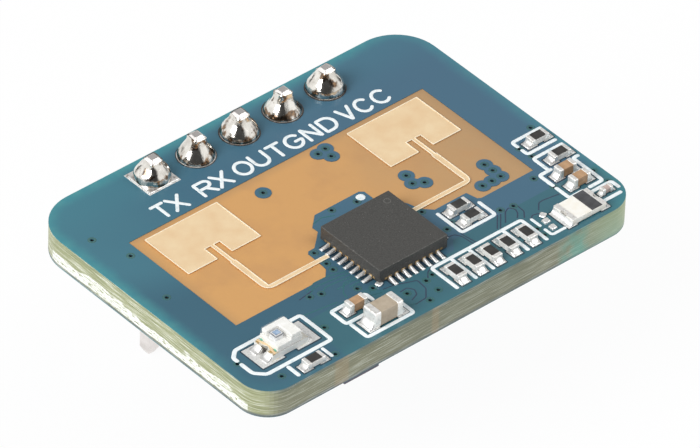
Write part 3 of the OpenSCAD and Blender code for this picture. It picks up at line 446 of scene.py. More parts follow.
def rounded_block(shape, size, centre, foot, radius):
    """A block with rounded edges; size is length, width and height, centre its place in the plan."""
    made = bmesh.ops.create_cube(shape, size=1.0)["verts"]
    bmesh.ops.scale(shape, verts=made, vec=size)
    bmesh.ops.translate(shape, verts=made, vec=(centre[0], centre[1], foot + size[2] / 2))
    edges = list({e for v in made for e in v.link_edges})
    bmesh.ops.bevel(shape, geom=edges, offset=radius, segments=3, profile=0.5, affect="EDGES")


def blocks(*sizes):
    """One shape of rounded blocks, each with its size, centre, foot and radius."""
    shape = bmesh.new()
    for size, centre, foot, radius in sizes:
        rounded_block(shape, size, centre, foot, radius)
    return shape


def join_rows(shape, rows, closed=False):
    """Skins a band of rows, each a loop of as many points, and closes the band if it is to be closed."""
    for one, two in zip(rows, rows[1:] + rows[:1] if closed else rows[1:]):
        for k in range(len(one)):
            m = (k + 1) % len(one)
            shape.faces.new([one[k], one[m], two[m], two[k]])


def smooth_normals(shape):
    """Turns every face outwards and shades them as one skin."""
    bmesh.ops.recalc_face_normals(shape, faces=shape.faces)
    for face in shape.faces:
        face.smooth = True


def turned_ring(turns, section):
    """A low ring turned from a section of radii and heights."""
    ring = bmesh.new()
    angles = [2 * math.pi * i / turns for i in range(turns)]
    rows = [[ring.verts.new((r * math.cos(a), r * math.sin(a), z)) for r, z in section] for a in angles]
    join_rows(ring, rows, closed=True)
    smooth_normals(ring)
    return ring


def spots_tree():
    """Geometry Nodes: sets one part out on every spot, turned by the spot's own angle."""
    tree = bpy.data.node_groups.new("parts_on_their_spots", "GeometryNodeTree")
    face = tree.interface
    sockets = {}
    for name, kind in (("Spots", "NodeSocketGeometry"), ("Part", "NodeSocketObject"),
                       ("Size", "NodeSocketFloat"), ("Finish", "NodeSocketMaterial")):
        sockets[name] = face.new_socket(name, in_out="INPUT", socket_type=kind).identifier
    face.new_socket("Geometry", in_out="OUTPUT", socket_type="NodeSocketGeometry")
    make, join = tree.nodes.new, tree.links.new
    given, result = make("NodeGroupInput"), make("NodeGroupOutput")
    part, turn = make("GeometryNodeObjectInfo"), make("GeometryNodeInputNamedAttribute")
    turn.data_type = "FLOAT_VECTOR"
    turn.inputs["Name"].default_value = "turn"
    spread, real, paint = (make("GeometryNodeInstanceOnPoints"), make("GeometryNodeRealizeInstances"),
                           make("GeometryNodeSetMaterial"))
    join(given.outputs["Spots"], spread.inputs["Points"])
    join(given.outputs["Part"], part.inputs["Object"])
    join(part.outputs["Geometry"], spread.inputs["Instance"])
    join(turn.outputs["Attribute"], spread.inputs["Rotation"])
    join(given.outputs["Size"], spread.inputs["Scale"])
    join(spread.outputs["Instances"], real.inputs["Geometry"])
    join(real.outputs["Geometry"], paint.inputs["Geometry"])
    join(given.outputs["Finish"], paint.inputs["Material"])
    join(paint.outputs["Geometry"], result.inputs["Geometry"])
    return tree, sockets


SPOTS_TREE, SPOT_SOCKETS = spots_tree()


def set_out(part, spots, name, material, slot_name, *stands_for, height=0.0):
    """Sets a part, drawn round its own middle, on each spot: x, y and the angle it is turned by."""
    part_mesh = bpy.data.meshes.new("part")
    part.to_mesh(part_mesh)
    part.free()
    part_object = bpy.data.objects.new("part", part_mesh)
    bpy.context.scene.collection.objects.link(part_object)
    points = bpy.data.meshes.new("spots")
    points.from_pydata([(x, y, height) for x, y, _ in spots], [], [])
    turns = points.attributes.new("turn", "FLOAT_VECTOR", "POINT")
    for item, (_, _, angle) in zip(turns.data, spots):
        item.vector = (0, 0, math.radians(angle))
    carrier = bpy.data.objects.new("spots", points)
    bpy.context.scene.collection.objects.link(carrier)
    nodes_modifier = carrier.modifiers.new("set out", "NODES")
    nodes_modifier.node_group = SPOTS_TREE
    nodes_modifier[SPOT_SOCKETS["Part"]] = part_object
    nodes_modifier[SPOT_SOCKETS["Size"]] = 1.0
    nodes_modifier[SPOT_SOCKETS["Finish"]] = material
    view_layer = bpy.context.evaluated_depsgraph_get()
    mesh = bpy.data.meshes.new_from_object(carrier.evaluated_get(view_layer))
    for spare in (carrier, part_object):
        bpy.data.objects.remove(spare)
    mesh.transform(TO_ROW_FRAME)
    finish_piece(mesh, name, material, slot_name, *stands_for)


def rounded_path(points, radius, closed=False, steps=4):
    """The points with each corner turned on a small curve."""
    path = []
    count = len(points)
    for i, p in enumerate(points):
        if not closed and i in (0, count - 1):
            path.append(p)
            continue
        before, after = points[i - 1], points[(i + 1) % count]
        cut = min(radius, (before - p).length * 0.45, (after - p).length * 0.45)
        start = p + (before - p).normalized() * cut
        end = p + (after - p).normalized() * cut
        for k in range(steps + 1):
            t = k / steps
            path.append((1 - t) ** 2 * start + 2 * t * (1 - t) * p + t ** 2 * end)
    return path


def add_stroke(shape, points, width, height, foot=0.0, radius=0.12, closed=False):
    """A printed line: a low domed band along a path, with round ends, lying at height foot."""
    path = rounded_path([Vector(p) for p in points], radius, closed)
    rows = []
    count = len(path)

    def row(at, across, half):
        rows.append([shape.verts.new((at.x + across.x * half * c, at.y + across.y * half * c,
                                      foot + height * s)) for c, s in DOME])

    def direction(i):
        before = path[i - 1] if closed or i > 0 else path[i]
        after = path[(i + 1) % count] if closed or i < count - 1 else path[i]
        return (after - before).normalized()

    def left_of(v):
        return Vector((-v.y, v.x))

    if not closed:
        start = direction(0)
        for k in (1, 2, 3):
            a = math.radians(90 - 22.5 * k)
            row(path[0] - start * math.sin(a) * width / 2, left_of(start), math.cos(a) * width / 2)
    for i in range(count):
        row(path[i], left_of(direction(i)), width / 2)
    if not closed:
        end = direction(count - 1)
        for k in (3, 2, 1):
            a = math.radians(90 - 22.5 * k)
            row(path[-1] + end * math.sin(a) * width / 2, left_of(end), math.cos(a) * width / 2)
    join_rows(shape, rows, closed)
    if not closed:
        shape.faces.new(rows[0][::-1])
        shape.faces.new(rows[-1])


# Half of a flat dome, from one side of a line to the other
DOME = [(1.0, -0.1), (0.97, 0.6), (0.8, 0.95), (0.0, 1.0), (-0.8, 0.95), (-0.97, 0.6), (-1.0, -0.1)]


def drawn(lines, width, height, **how):
    """One shape of lines of one width and height."""
    shape = bmesh.new()
    for points in lines:
        add_stroke(shape, points, width, height, **how)
    smooth_normals(shape)
    return shape


def arc_points(cx, cy, rx, ry, start, end, steps=10):
    """Points on an ellipse, from one angle to another in degrees."""
    return [(cx + rx * math.cos(math.radians(start + (end - start) * k / steps)),
             cy + ry * math.sin(math.radians(start + (end - start) * k / steps))) for k in range(steps + 1)]


# Strokes of the pin labels in a box one wide and one high
LETTERS = {
    "T": [[(0, 1), (1, 1)], [(0.5, 1), (0.5, 0)]],
    "X": [[(0, 0), (1, 1)], [(0, 1), (1, 0)]],
    "R": [[(0, 0), (0, 1), (0.55, 1)] + arc_points(0.6, 0.75, 0.38, 0.25, 90, -90) + [(0, 0.5)],
          [(0.5, 0.5), (1, 0)]],
    "O": [arc_points(0.5, 0.5, 0.5, 0.5, 0, 345, 23)],
    "U": [[(0, 1), (0, 0.4)] + arc_points(0.5, 0.4, 0.5, 0.4, 180, 360) + [(1, 1)]],
    "G": [arc_points(0.5, 0.5, 0.5, 0.5, 42, 330, 18) + [(1, 0.46), (0.58, 0.46)]],
    "N": [[(0, 0), (0, 1), (1, 0), (1, 1)]],
    "D": [[(0, 0), (0, 1), (0.4, 1)] + arc_points(0.45, 0.5, 0.55, 0.5, 80, -80) + [(0.4, 0)]],
    "V": [[(0, 1), (0.5, 0), (1, 1)]],
    "C": [arc_points(0.5, 0.5, 0.5, 0.5, 45, 315, 18)],
}
CLOSED_LETTERS = ("O", "D")
# Each pin's function as it is printed: letter, left side, right side
LABELS = [
    ("T", -6.53, -5.75), ("X", -5.71, -4.85), ("R", -4.07, -3.16), ("X", -3.12, -2.25),
    ("O", -1.92, -0.94), ("U", -0.89, 0.02), ("T", 0.15, 0.97),
    ("G", 1.06, 2.06), ("N", 2.15, 2.97), ("D", 3.11, 4.02),
    ("V", 4.29, 5.11), ("C", 5.2, 6.11), ("C", 6.2, 7.15),
]
LABEL_LOW, LABEL_HIGH = 4.05, 5.1
LABEL_STROKE = 0.17


def pin_labels():
    """The generic names of the five pins, in one plain line width."""
    shape = bmesh.new()
    half = LABEL_STROKE / 2
    for letter, left, right in LABELS:
        for stroke in LETTERS[letter]:
            points = [(left + half + u * (right - left - 2 * half),
                       LABEL_LOW + half + v * (LABEL_HIGH - LABEL_LOW - 2 * half)) for u, v in stroke]
            add_stroke(shape, points, LABEL_STROKE, 0.018, radius=0.05, closed=letter in CLOSED_LETTERS)
    smooth_normals(shape)
    set_down(shape, "pin_labels", INK, "legend_ink")


# Printed outlines: line width, points
OUTLINES = [
    (0.21, [(-10.23, -5.3), (-10.23, -5.06), (-9.84, -4.7), (-6.09, -4.7), (-6.09, -6.79), (-9.79, -6.79),
            (-10.23, -6.34), (-10.23, -5.62)]),
    (0.2, [(-8.76, -7.02), (-8.76, -7.68)]),
    (0.17, [(-6.8, -7.02), (-6.8, -7.62)]),
    (0.2, [(-2.93, -5.87), (-2.93, -5.38), (-4.91, -5.38), (-4.91, -6.42), (-2.95, -6.42)]),
    (0.2, [(-4.78, -6.6), (-4.78, -7.67), (-2.1, -7.67), (-2.1, -6.9)]),
    (0.19, [(0.47, -7.62), (0.47, -5.92), (5.76, -5.92), (5.76, -7.62)]),
    (0.19, [(1.57, -6.05), (1.57, -7.62)]),
    (0.19, [(2.6, -6.05), (2.6, -7.62)]),
    (0.2, [(4.64, -6.05), (4.64, -7.62)]),
    (0.19, [(5.14, -3.85), (5.14, -4.92), (3.17, -4.92), (3.17, -3.3)]),
    (0.19, [(9.07, -2.0), (9.07, -1.63), (10.75, -1.63)]),
    (0.19, [(9.07, -2.34), (9.07, -2.68), (10.72, -2.68)]),
    (0.19, [(9.05, -4.02), (9.05, -3.08), (10.75, -3.08)]),
    (0.2, [(9.15, -4.13), (8.47, -4.13), (8.47, -5.02)]),
    (0.2, [(8.47, -5.28), (8.47, -6.13), (9.25, -6.13)]),
    (0.2, [(10.75, -4.15), (10.46, -4.15), (10.46, -6.13), (9.7, -6.13)]),
    (0.2, [(9.6, -6.43), (10.7, -6.43), (10.7, -6.9)]),
    (0.2, [(9.6, -7.25), (10.5, -7.25)]),
    (0.16, [(6.15, -6.2), (6.15, -6.75)]),
    (0.16, [(6.15, -7.1), (6.15, -7.55), (6.9, -7.55)]),
]


def printed_outlines():
    """The white outlines round the parts, and the dot that marks the chip's first lead."""
    shape = bmesh.new()
    for width, points in OUTLINES:
        add_stroke(shape, points, width, 0.018, radius=0.14)
    add_stroke(shape, [(1.285, -0.25), (1.295, -0.25)], 0.44, 0.018)
    smooth_normals(shape)
    set_down(shape, "printed_outlines", INK, "legend_ink", "front_legend")


# What shows through the mask: dark edges of tracks, and green gaps in the copper
TRACK_EDGES = [
    [(4.55, -5.7), (5.17, -5.02)], [(4.7, -5.75), (5.32, -5.06)],
    [(5.12, -5.61), (5.6, -5.06), (5.9, -4.93), (6.07, -5.2), (5.98, -5.46), (5.75, -5.69)],
    [(6.3, -5.1), (6.28, -5.54), (5.99, -5.89)],
    [(2.45, -4.75), (2.81, -4.82), (2.99, -5.14), (3.04, -5.81)], [(3.08, -4.98), (3.2, -5.83)],
    [(8.28, -5.63), (7.42, -5.5), (7.18, -5.52), (6.85, -5.88)], [(6.2, -6.12), (6.37, -5.98), (6.8, -6.12)],
    [(-1.64, -6.26), (-1.25, -6.23), (-1.05, -6.53), (-1.19, -6.84), (-1.6, -6.99)],
    [(-2.1, -5.66), (-1.55, -5.74), (-0.55, -6.14), (-0.61, -6.78), (-1.04, -7.27), (-1.67, -7.32)],
    [(-0.11, -6.34), (0.2, -6.0), (1.11, -5.6)], [(-5.43, -3.89), (-4.6, -3.78)],
]
GREEN_GAPS = [
    [(-4.85, -3.7), (-4.2, -3.42), (-3.4, -3.45), (-2.63, -3.7)],
    [(-4.78, -3.9), (-4.47, -3.69), (-4.14, -3.67), (-2.56, -3.86)],
    [(-4.26, -4.13), (-4.03, -3.97), (-3.79, -3.96), (-2.58, -4.1)],
    [(-3.67, -4.39), (-2.78, -4.36), (-2.4, -4.5)], [(-2.5, -5.15), (-2.68, -5.46)],
    [(-1.55, -0.33), (-0.98, -0.23), (-0.45, -0.47)],
    [(-3.71, -5.07), (-3.65, -4.77), (-3.18, -4.24), (-2.54, -4.27)],
    [(-3.14, -4.62), (-2.56, -4.6)], [(-1.9, -7.2), (-1.49, -7.33)],
    [(-2.89, -5.59), (-2.32, -5.78)], [(-6.9, -4.62), (-5.72, -4.84), (-4.25, -5.05)],
]


def under_the_mask():
    """Fine lines in the mask's skin over the edges of tracks and over gaps in the copper."""
    for name, lines, finish in (("track_edges", TRACK_EDGES, TRACK_EDGE),
                                ("green_gaps", GREEN_GAPS, GAP_UNDER_MASK)):
        set_down(drawn(lines, 0.06, 0.004, radius=0.08), name, finish, "solder_mask")


def via_collars():
    """Round each via the mask sinks into the hole and looks greener: a low ring."""
    ring = turned_ring(24, [(0.1, 0.0), (0.115, 0.006), (0.15, 0.008), (0.185, 0.004), (0.2, 0.0),
                            (0.15, -0.01)])
    set_out(ring, [(x, y, 0) for x, y in VIA_SPOTS], "via_collars", GREEN_MASK, "solder_mask")


VIA_SPOTS = [
    (-9.85, 4.97), (-9.22, 3.07), (-9.82, -0.1), (-0.29, -0.12), (0.97, -0.38),
    (-2.82, -1.87),     (-2.88, -2.76), (-2.92, -3.25), (-4.95, -4.02), (-4.41, -4.18), (-2.95, -4.9),
    (-2.4, -5.3),     (-5.8, -5.98), (-10.33, -5.45), (-9.37, -7.28), (-6.6, -7.63), (-1.48, -6.53),
    (-0.25, -6.4), (0.23, -6.25), (-0.25, -7.2), (-1.0, -7.5),     (2.73, -2.72), (2.8, -4.33),
    (3.28, -4.08), (5.52, -4.83), (6.17, -4.97), (8.15, -4.12), (9.14, -2.9),     (9.05, -2.15),
    (10.45, -1.35), (10.6, -5.37), (10.6, -6.33), (8.45, -5.1), (5.92, -6.83),
    (5.9, -7.35),     (-1.85, 2.72), (1.83, 3.24), (2.33, 3.33), (2.19, 2.76), (3.88, -0.38), (3.73, -0.97),
    (4.2, -1.25),     (7.1, -2.0), (7.12, -2.53), (7.12, -3.06), (6.6, -3.06), (6.05, -3.06),
]


# Aerials

PATCH_X, PATCH_SPAN, PATCH_L = -0.08, 11.8, 4.14
PATCH_LOW, PATCH_TOP = 0.5, 3.48
SLOT_W, SLOT_D, NECK_W, NECK_L, FEED_W, LEG_W = 0.36, 0.86, 0.16, 0.56, 0.27, 0.21
FEED_Y = CHIP.y + 0.9
FEED_END = 2.48


def aerial_outline(middle, towards_chip, bend):
    """One patch with its slots and neck, and the feed line that turns towards the chip, 1 for east."""
    def at(across, y):
        return Vector((middle + towards_chip * across, y))

    half, neck, slot, feed, leg = PATCH_L / 2, NECK_W / 2, NECK_W / 2 + SLOT_W, FEED_W / 2, LEG_W / 2
    neck_foot, slot_top, end_x = PATCH_LOW - NECK_L, PATCH_LOW + SLOT_D, CHIP.x - towards_chip * FEED_END
    outer = rounded_path([at(-feed, neck_foot), at(-feed, FEED_Y - leg), Vector((end_x, FEED_Y - leg))],
                         bend, steps=6)
    inner = rounded_path([at(feed, neck_foot), at(feed, FEED_Y + leg), Vector((end_x, FEED_Y + leg))],
                         0.05, steps=3)
    patch = [at(-half, PATCH_LOW), at(-half, PATCH_TOP), at(half, PATCH_TOP), at(half, PATCH_LOW),
             at(slot, PATCH_LOW), at(slot, slot_top), at(neck, slot_top), at(neck, neck_foot)]
    other_slot = [at(-neck, neck_foot), at(-neck, slot_top), at(-slot, slot_top), at(-slot, PATCH_LOW)]
    return patch + inner + outer[::-1] + other_slot


def aerial(name, node, middle, towards_chip, bend):
    """Etched foil: a thin plate whose edges are slightly undercut and catch the light, with a raised lip
    round them in a lighter gold: painted highlight.
    """
    foot, top = -0.03, 0.02
    outline = aerial_outline(middle, towards_chip, bend)
    shape = bmesh.new()
    base = shape.faces.new([shape.verts.new((x, y, foot)) for x, y in outline])
    raised = bmesh.ops.extrude_face_region(shape, geom=[base])
    bmesh.ops.translate(shape, verts=[v for v in raised["geom"] if isinstance(v, bmesh.types.BMVert)],
                        vec=(0, 0, top - foot))
    bmesh.ops.recalc_face_normals(shape, faces=shape.faces)
    set_down(shape, name, GOLD, "gold_plated_copper", node)
    # The lip's lighter gold is painted highlight
    lip = drawn([outline], 0.055, 0.022, foot=top - 0.004, radius=0.02, closed=True)
    set_down(lip, name + "_edge", GOLD_EDGE_HIGHLIGHT, "gold_plated_copper")


# Header joints

# How wide the solder is at each share of its height: full at the foot, drawn in, then close to the pin
BELL = [(0.0, 0.97), (0.04, 1.0), (0.14, 0.99), (0.3, 0.9), (0.45, 0.74), (0.6, 0.55), (0.75, 0.38),
        (0.9, 0.27), (1.0, 0.22)]


def bell_width(t):
    """The bell's width at a share of its height, as a share of its foot's."""
    for (t0, w0), (t1, w1) in zip(BELL, BELL[1:]):
        if t <= t1:
            k = (t - t0) / (t1 - t0)
            return w0 + (w1 - w0) * k
    return BELL[-1][1]


def solder_bell(pin_x, base, lean, seed, full):
    """Solder frozen round a pin: it wets the pad, pulls in and climbs the pin, never quite evenly."""
    shape = bmesh.new()
    turns, levels = 48, 24
    foot, top, pin_half = 0.012, 1.09, 0.335
    slim = BELL[-1][1]
    rings = []
    for j in range(levels + 1):
        t = j / levels
        share = (bell_width(t ** full) - slim) / (1 - slim)
        ring = []
        for i in range(turns):
            a = 2 * math.pi * i / turns
            c, s = math.cos(a), math.sin(a)
            climb = top * (1 + 0.04 * math.cos(a - lean))
            square = min(1.0 / max(abs(c), abs(s)), 1.3)
            hug = pin_half * (1.12 + (square - 1.12) * t ** 3)
            lump = noise.noise(Vector((c * 1.3 + seed, s * 1.3, t * 1.8)))
            r = hug + (base - hug) * share + 0.05 * lump * math.sin(math.pi * t) + 0.012 * lump
            ring.append(shape.verts.new((pin_x + r * c, HEADER_Y + r * s, foot + (climb - foot) * t)))
        rings.append(ring)
    join_rows(shape, rings)
    for ring, height in ((rings[0], foot), (rings[-1], top + 0.04)):
        hub = shape.verts.new((pin_x, HEADER_Y, height))
        for i in range(turns):
            shape.faces.new([ring[i], ring[(i + 1) % turns], hub])
    smooth_normals(shape)
    return shape


# Each joint: name, radius at its foot, the way it leans, where its lumps start, how full it is
JOINTS = [
    ("tx", 0.85, 0.6, 3.0, 1.3), ("rx", 0.88, 2.4, 11.0, 0.8), ("out", 0.9, 1.2, 19.0, 0.95),
    ("ground", 0.9, 4.0, 27.0, 0.65), ("supply", 0.91, 5.4, 35.0, 1.15),
]


def header_joints():
    """A bell on each pin; the first pad is square and tinned, and the others have a dark ring round the foot,
    painted shadow.
    """
    rings = []
    for x, (name, base, lean, seed, full) in zip(PIN_X, JOINTS):
        set_down(solder_bell(x, base, lean, seed, full), "solder_bell_" + name, SOLDER, "solder",
                 "solder_joint_" + name)
        rings.append(arc_points(x, HEADER_Y, base + 0.03, base + 0.03, 0, 345, 23))
    set_down(blocks(((1.72, 1.72, 0.1), (PIN_X[0], HEADER_Y), -0.005, 0.045)), "solder_over_the_square_pad",
             FLUXED_FILLET, "solder")
    # The dark rings round the other joints' feet are painted shadow
    set_down(drawn(rings[1:], 0.07, 0.012, radius=0.05, closed=True), "flux_round_the_joints", DARK_SHADE, "solder")


# Small parts on the blue side: x, y and turn
RESISTORS = [
    (-7.75, -7.5, 0), (0.98, -6.93, 90), (2.04, -6.93, 90), (3.07, -6.93, 90), (4.05, -6.93, 90),
    (5.16, -6.93, 90), (4.1, -3.62, 0), (4.1, -4.5, 0), (10.06, -2.22, 0), (10.07, -3.68, 0),
]
SMALL_CAPACITORS = [(-3.88, -5.85, 0), (9.48, -4.7, 0), (9.52, -5.6, 0)]
LARGE_CAPACITOR = [(-3.39, -7.09, 0)]
TINY_CAPACITOR = [(10.02, -6.83, 0)]
LIGHT_SENSOR = [(-8.05, -5.68, 0)]
CHIP_AERIAL = [(8.24, -7.05, 0)]


def end_caps(length, width, height, end, radius):
    """Both plated ends of a part, each of them end long."""
    return blocks(*[((end, width, height), (sign * (length - end) / 2, 0), 0.0, radius) for sign in (-1, 1)])


def resistors():
    """Thick-film resistors: a white chip, plated ends and black glaze on top."""
    set_out(end_caps(1.0, 0.5, 0.34, 0.2, 0.035), RESISTORS, "resistor_ends", END_METAL,
            "end_metal", "resistor_terminals", height=PAD_TOP)
    set_out(blocks(((0.94, 0.48, 0.3), (0, 0), 0.02, 0.02)), RESISTORS, "resistor_chips", ALUMINA,
            "white_alumina", "resistor_cores", height=PAD_TOP)
    set_out(blocks(((0.62, 0.46, 0.05), (0, 0), 0.3, 0.02)), RESISTORS, "resistor_glaze", GLAZE,
            "black_glaze", "resistor_coats", height=PAD_TOP)


# Each size of capacitor: spots, ends, body, its finish, the names of both pieces, the nodes they stand for
CAPACITORS = [
    (SMALL_CAPACITORS, (1.0, 0.5, 0.5, 0.24, 0.06), ((0.9, 0.47, 0.47), (0, 0), 0.01, 0.04), TAN_CERAMIC,
     "small_capacitor_ends", "small_capacitor_bodies", ("capacitor_terminals", "capacitor_cores")),
    (LARGE_CAPACITOR, (1.65, 0.87, 0.85, 0.38, 0.09), ((1.5, 0.83, 0.81), (0, 0), 0.015, 0.06),
     PALE_TAN_CERAMIC, "large_capacitor_ends", "large_capacitor_body", ()),
    (TINY_CAPACITOR, (0.6, 0.3, 0.3, 0.17, 0.04), ((0.54, 0.27, 0.27), (0, 0), 0.01, 0.03), PINK_CERAMIC,
     "tiny_capacitor_ends", "tiny_capacitor_body", ()),
]


def capacitors():
    """Multilayer capacitors: a fired block whose ends were dipped in metal."""
    for spots, caps, body, finish, ends_name, body_name, stands_for in CAPACITORS:
        set_out(end_caps(*caps), spots, ends_name, END_METAL, "end_metal", *stands_for,
                height=PAD_TOP)
        set_out(blocks(body), spots, body_name, finish, "tan_ceramic", height=PAD_TOP)


def solder_slope(length, height, width, lump=0.0):
    """A fillet from a wall at x = 0: high at the wall, hollow in the middle, thin at its toe."""
    shape = bmesh.new()
    steps, sides = 8, 6
    rows = []
    for i in range(steps + 1):
        t = i / steps
        z = height * (1 - t) ** 1.7 + 0.03 + lump * math.sin(math.pi * t)
        half = width / 2 * (1 - 0.12 * t ** 3)
        row = []
        for k in range(sides + 1):
            u = -1 + 2 * k / sides
            row.append(shape.verts.new((-0.03 + (length + 0.03) * t, half * u,
                                        max(0.004, z * (1 - 0.45 * abs(u) ** 3)))))
        row += [shape.verts.new((row[-1].co.x, half, -0.01)), shape.verts.new((row[0].co.x, -half, -0.01))]
        rows.append(row)
    join_rows(shape, rows)
    shape.faces.new(rows[0][::-1])
    shape.faces.new(rows[-1])
    smooth_normals(shape)
    return shape


def ends_of(spots, half_length):
    """Where a fillet starts at each end of each part."""
    found = []
    for x, y, turn in spots:
        a = math.radians(turn)
        found.append((x + half_length * math.cos(a), y + half_length * math.sin(a), turn))
        found.append((x - half_length * math.cos(a), y - half_length * math.sin(a), turn + 180))
    return found


def gaps_round_pads():
    """The mask stops just short of each pad, which runs from under the part's end to reach: the gap is drawn
    as a dark line, painted shade.
    """
    gap = 0.06
    for name, spots, reach, under, half_width in (
            ("resistor", ends_of(RESISTORS, 0.5), 0.25, 0.3, 0.27),
            ("small_capacitor", ends_of(SMALL_CAPACITORS, 0.5), 0.25, 0.3, 0.27),
            ("large_capacitor", ends_of(LARGE_CAPACITOR, 0.8), 0.32, 0.3, 0.46),
            ("tiny_capacitor", ends_of(TINY_CAPACITOR, 0.3), 0.14, 0.15, 0.15),
            ("light_sensor", ends_of(LIGHT_SENSOR, 1.0), 0.64, 0.62, 0.74),
            ("chip_aerial", ends_of(CHIP_AERIAL, 1.0), 0.25, 0.3, 0.67)):
        back, tip, side = -under - gap / 2, reach + gap / 2, half_width + gap / 2
        line = drawn([[(back, -side), (tip, -side), (tip, side), (back, side)]], gap + 0.01, 0.005,
                     radius=0.03, closed=True)
        set_out(line, spots, name + "_pad_gaps", PAD_GAP_SHADE, "solder_mask")


def chip_lead_spots():
    """Where each lead leaves the chip's side: eight a side, 0.4 mm apart."""
    half, pitch, leads_a_side = 2.0, 0.4, 8
    spots = []
    for turn in (0, 90, 180, 270):
        a = math.radians(turn)
        for k in range(leads_a_side):
            along = (k - (leads_a_side - 1) / 2) * pitch
            spots.append((CHIP.x + half * math.cos(a) - along * math.sin(a),
                          CHIP.y + half * math.sin(a) + along * math.cos(a), turn))
    return spots


def flux_between_leads():
    """Dark lines beside each lead of the chip, lapping over the pads' edges: painted shade in the gaps
    between the leads.
    """
    line = drawn([[(-0.05, side), (0.38, side)] for side in (-0.135, 0.135)], 0.1, 0.027, radius=0.03)
    set_out(line, chip_lead_spots(), "flux_between_leads", PAD_GAP_SHADE, "solder_mask")


def small_part_solder():
    """A fillet at each end of the resistors and capacitors: length, height and width of its slope."""
    for name, spots, half_length, slope, finish, stands_for in (
            ("resistor", RESISTORS, 0.49, (0.25, 0.2, 0.5), FILLET, ("passive_solder",)),
            ("small_capacitor", SMALL_CAPACITORS, 0.49, (0.25, 0.3, 0.5), FILLET, ()),
            ("large_capacitor", LARGE_CAPACITOR, 0.81, (0.27, 0.4, 0.84), FILLET, ()),
            ("tiny_capacitor", TINY_CAPACITOR, 0.29, (0.14, 0.16, 0.3), TINNED, ())):
        set_out(solder_slope(*slope), ends_of(spots, half_length), name + "_solder", finish, "solder",
                *stands_for, height=PAD_TOP)


def radar_chip():
    """The moulded chip, solder that wets each lead's end, and a paler rim round the round mark on top."""
    set_down(blocks(((3.98, 3.98, 0.73), CHIP, PAD_TOP + 0.02, 0.045)), "radar_chip_mould", MOULD,
             "chip_mould", "radar_chip_body")
    set_out(solder_slope(0.46, 0.14, 0.16, 0.02), chip_lead_spots(), "radar_chip_fingers", FILLET,
            "solder", "radar_chip_solder", height=PAD_TOP)
    dimple = turned_ring(28, [(0.17, -0.01), (0.165, 0.003), (0.15, 0.003), (0.14, -0.008)])
    set_out(dimple, [(CHIP.x + 1.45, CHIP.y + 1.45, 0)], "radar_chip_dimple_rim", PALER_MOULD, "chip_mould",
            height=PAD_TOP + 0.75)


def light_sensor():
    """The clear sensor: its chip and frame show through the top, and green ink marks one end."""
    die = (-8.36, -5.72)
    softened("light_sensor_window", "light_sensor_resin", RESIN, "clear_resin", 0.05)
    set_down(blocks(((1.42, 1.2, 0.3), (-8.04, -5.675), 0.34, 0.03),
                    ((0.6, 1.2, 0.3), (-7.68, -5.675), 0.62, 0.06),
                    ((0.78, 0.32, 0.3), (-8.28, -5.24), 0.62, 0.06)),
             "light_sensor_white_core", WHITE_RESIN, "white_resin")
    set_down(blocks(((0.44, 0.42, 0.24), die, 0.62, 0.02), ((0.4, 0.38, 0.03), die, 0.885, 0.01)),
             "light_sensor_chip_wall", DIE_WALL, "sensor_die")
    set_down(blocks(((0.48, 0.46, 0.03), die, 0.862, 0.01), ((0.31, 0.29, 0.02), die, 0.902, 0.006)),
             "light_sensor_die_frame", DIE_FRAME, "sensor_die")
    set_down(blocks(((0.28, 0.26, 0.02), die, 0.912, 0.006)), "light_sensor_chip", DIE, "sensor_die",
             "light_sensor_die")
    band = drawn([[(-8.89, -5.1), (-8.85, -5.42), (-8.74, -5.68), (-8.85, -5.94), (-8.89, -6.24)]],
                 0.12, 0.02, foot=0.36, radius=0.2)
    set_down(band, "light_sensor_gold_band", GOLD, "gold_plated_copper")
    # Painted shade: a dark block in the notch at the sensor's end
    set_down(blocks(((0.1, 0.13, 0.26), (-8.99, -5.68), 0.03, 0.03)),
             "flux_in_the_sensor_notch", DARK_SHADE, "solder")
    set_down(blocks(*[((0.12, 0.16, 0.07), (-8.74, y), 0.35, 0.025) for y in (-5.2, -6.12)]),
             "light_sensor_green_marks", GREEN_INK, "white_resin")
    toes = [(x, y + side, turn) for x, y, turn in ends_of(LIGHT_SENSOR, 1.0) for side in (-0.35, 0.35)]
    set_out(solder_slope(0.34, 0.29, 0.54), toes, "light_sensor_toes", FILLET, "solder",
            "light_sensor_solder", height=PAD_TOP)


def stray_solder():
    """Solder on the two bare pads, and two specks beside them and the chip."""
    set_out(blocks(((0.33, 0.3, 0.08), (0, 0), -0.005, 0.06)),
            [(6.55, -6.7, 0), (6.5, -7.2, 90), (6.7, -6.32, 30), (-2.05, -5.3, 20)], "stray_solder", FILLET,
            "solder", height=PAD_TOP)


# Finishes of the CAD solids that show as they are
CAD_FINISHES = {
    "laminate": LAMINATE, "front_solder_mask": MASK, "rear_solder_mask": MASK,
    "front_pads": TINNED, "rear_pads": TINNED, "via_barrels": COPPER, "header_hole_barrels": TINNED,
    "radar_chip_leads": GOLD_LEADS, "radar_chip_paddle": GOLD_LEADS, "light_sensor_terminals": WETTED,
    "light_sensor_base": WHITE_RESIN, "chip_aerial_stripe": STRIPE,
    "chip_aerial_solder": TINNED, "controller_leads": GOLD_LEADS, "controller_paddle": GOLD_LEADS,
    "controller_solder": SOLDER, "crystal_solder": SOLDER, "regulator_solder": SOLDER,
    "rear_passive_solder": SOLDER, "rear_resistor_coats": GLAZE,
}
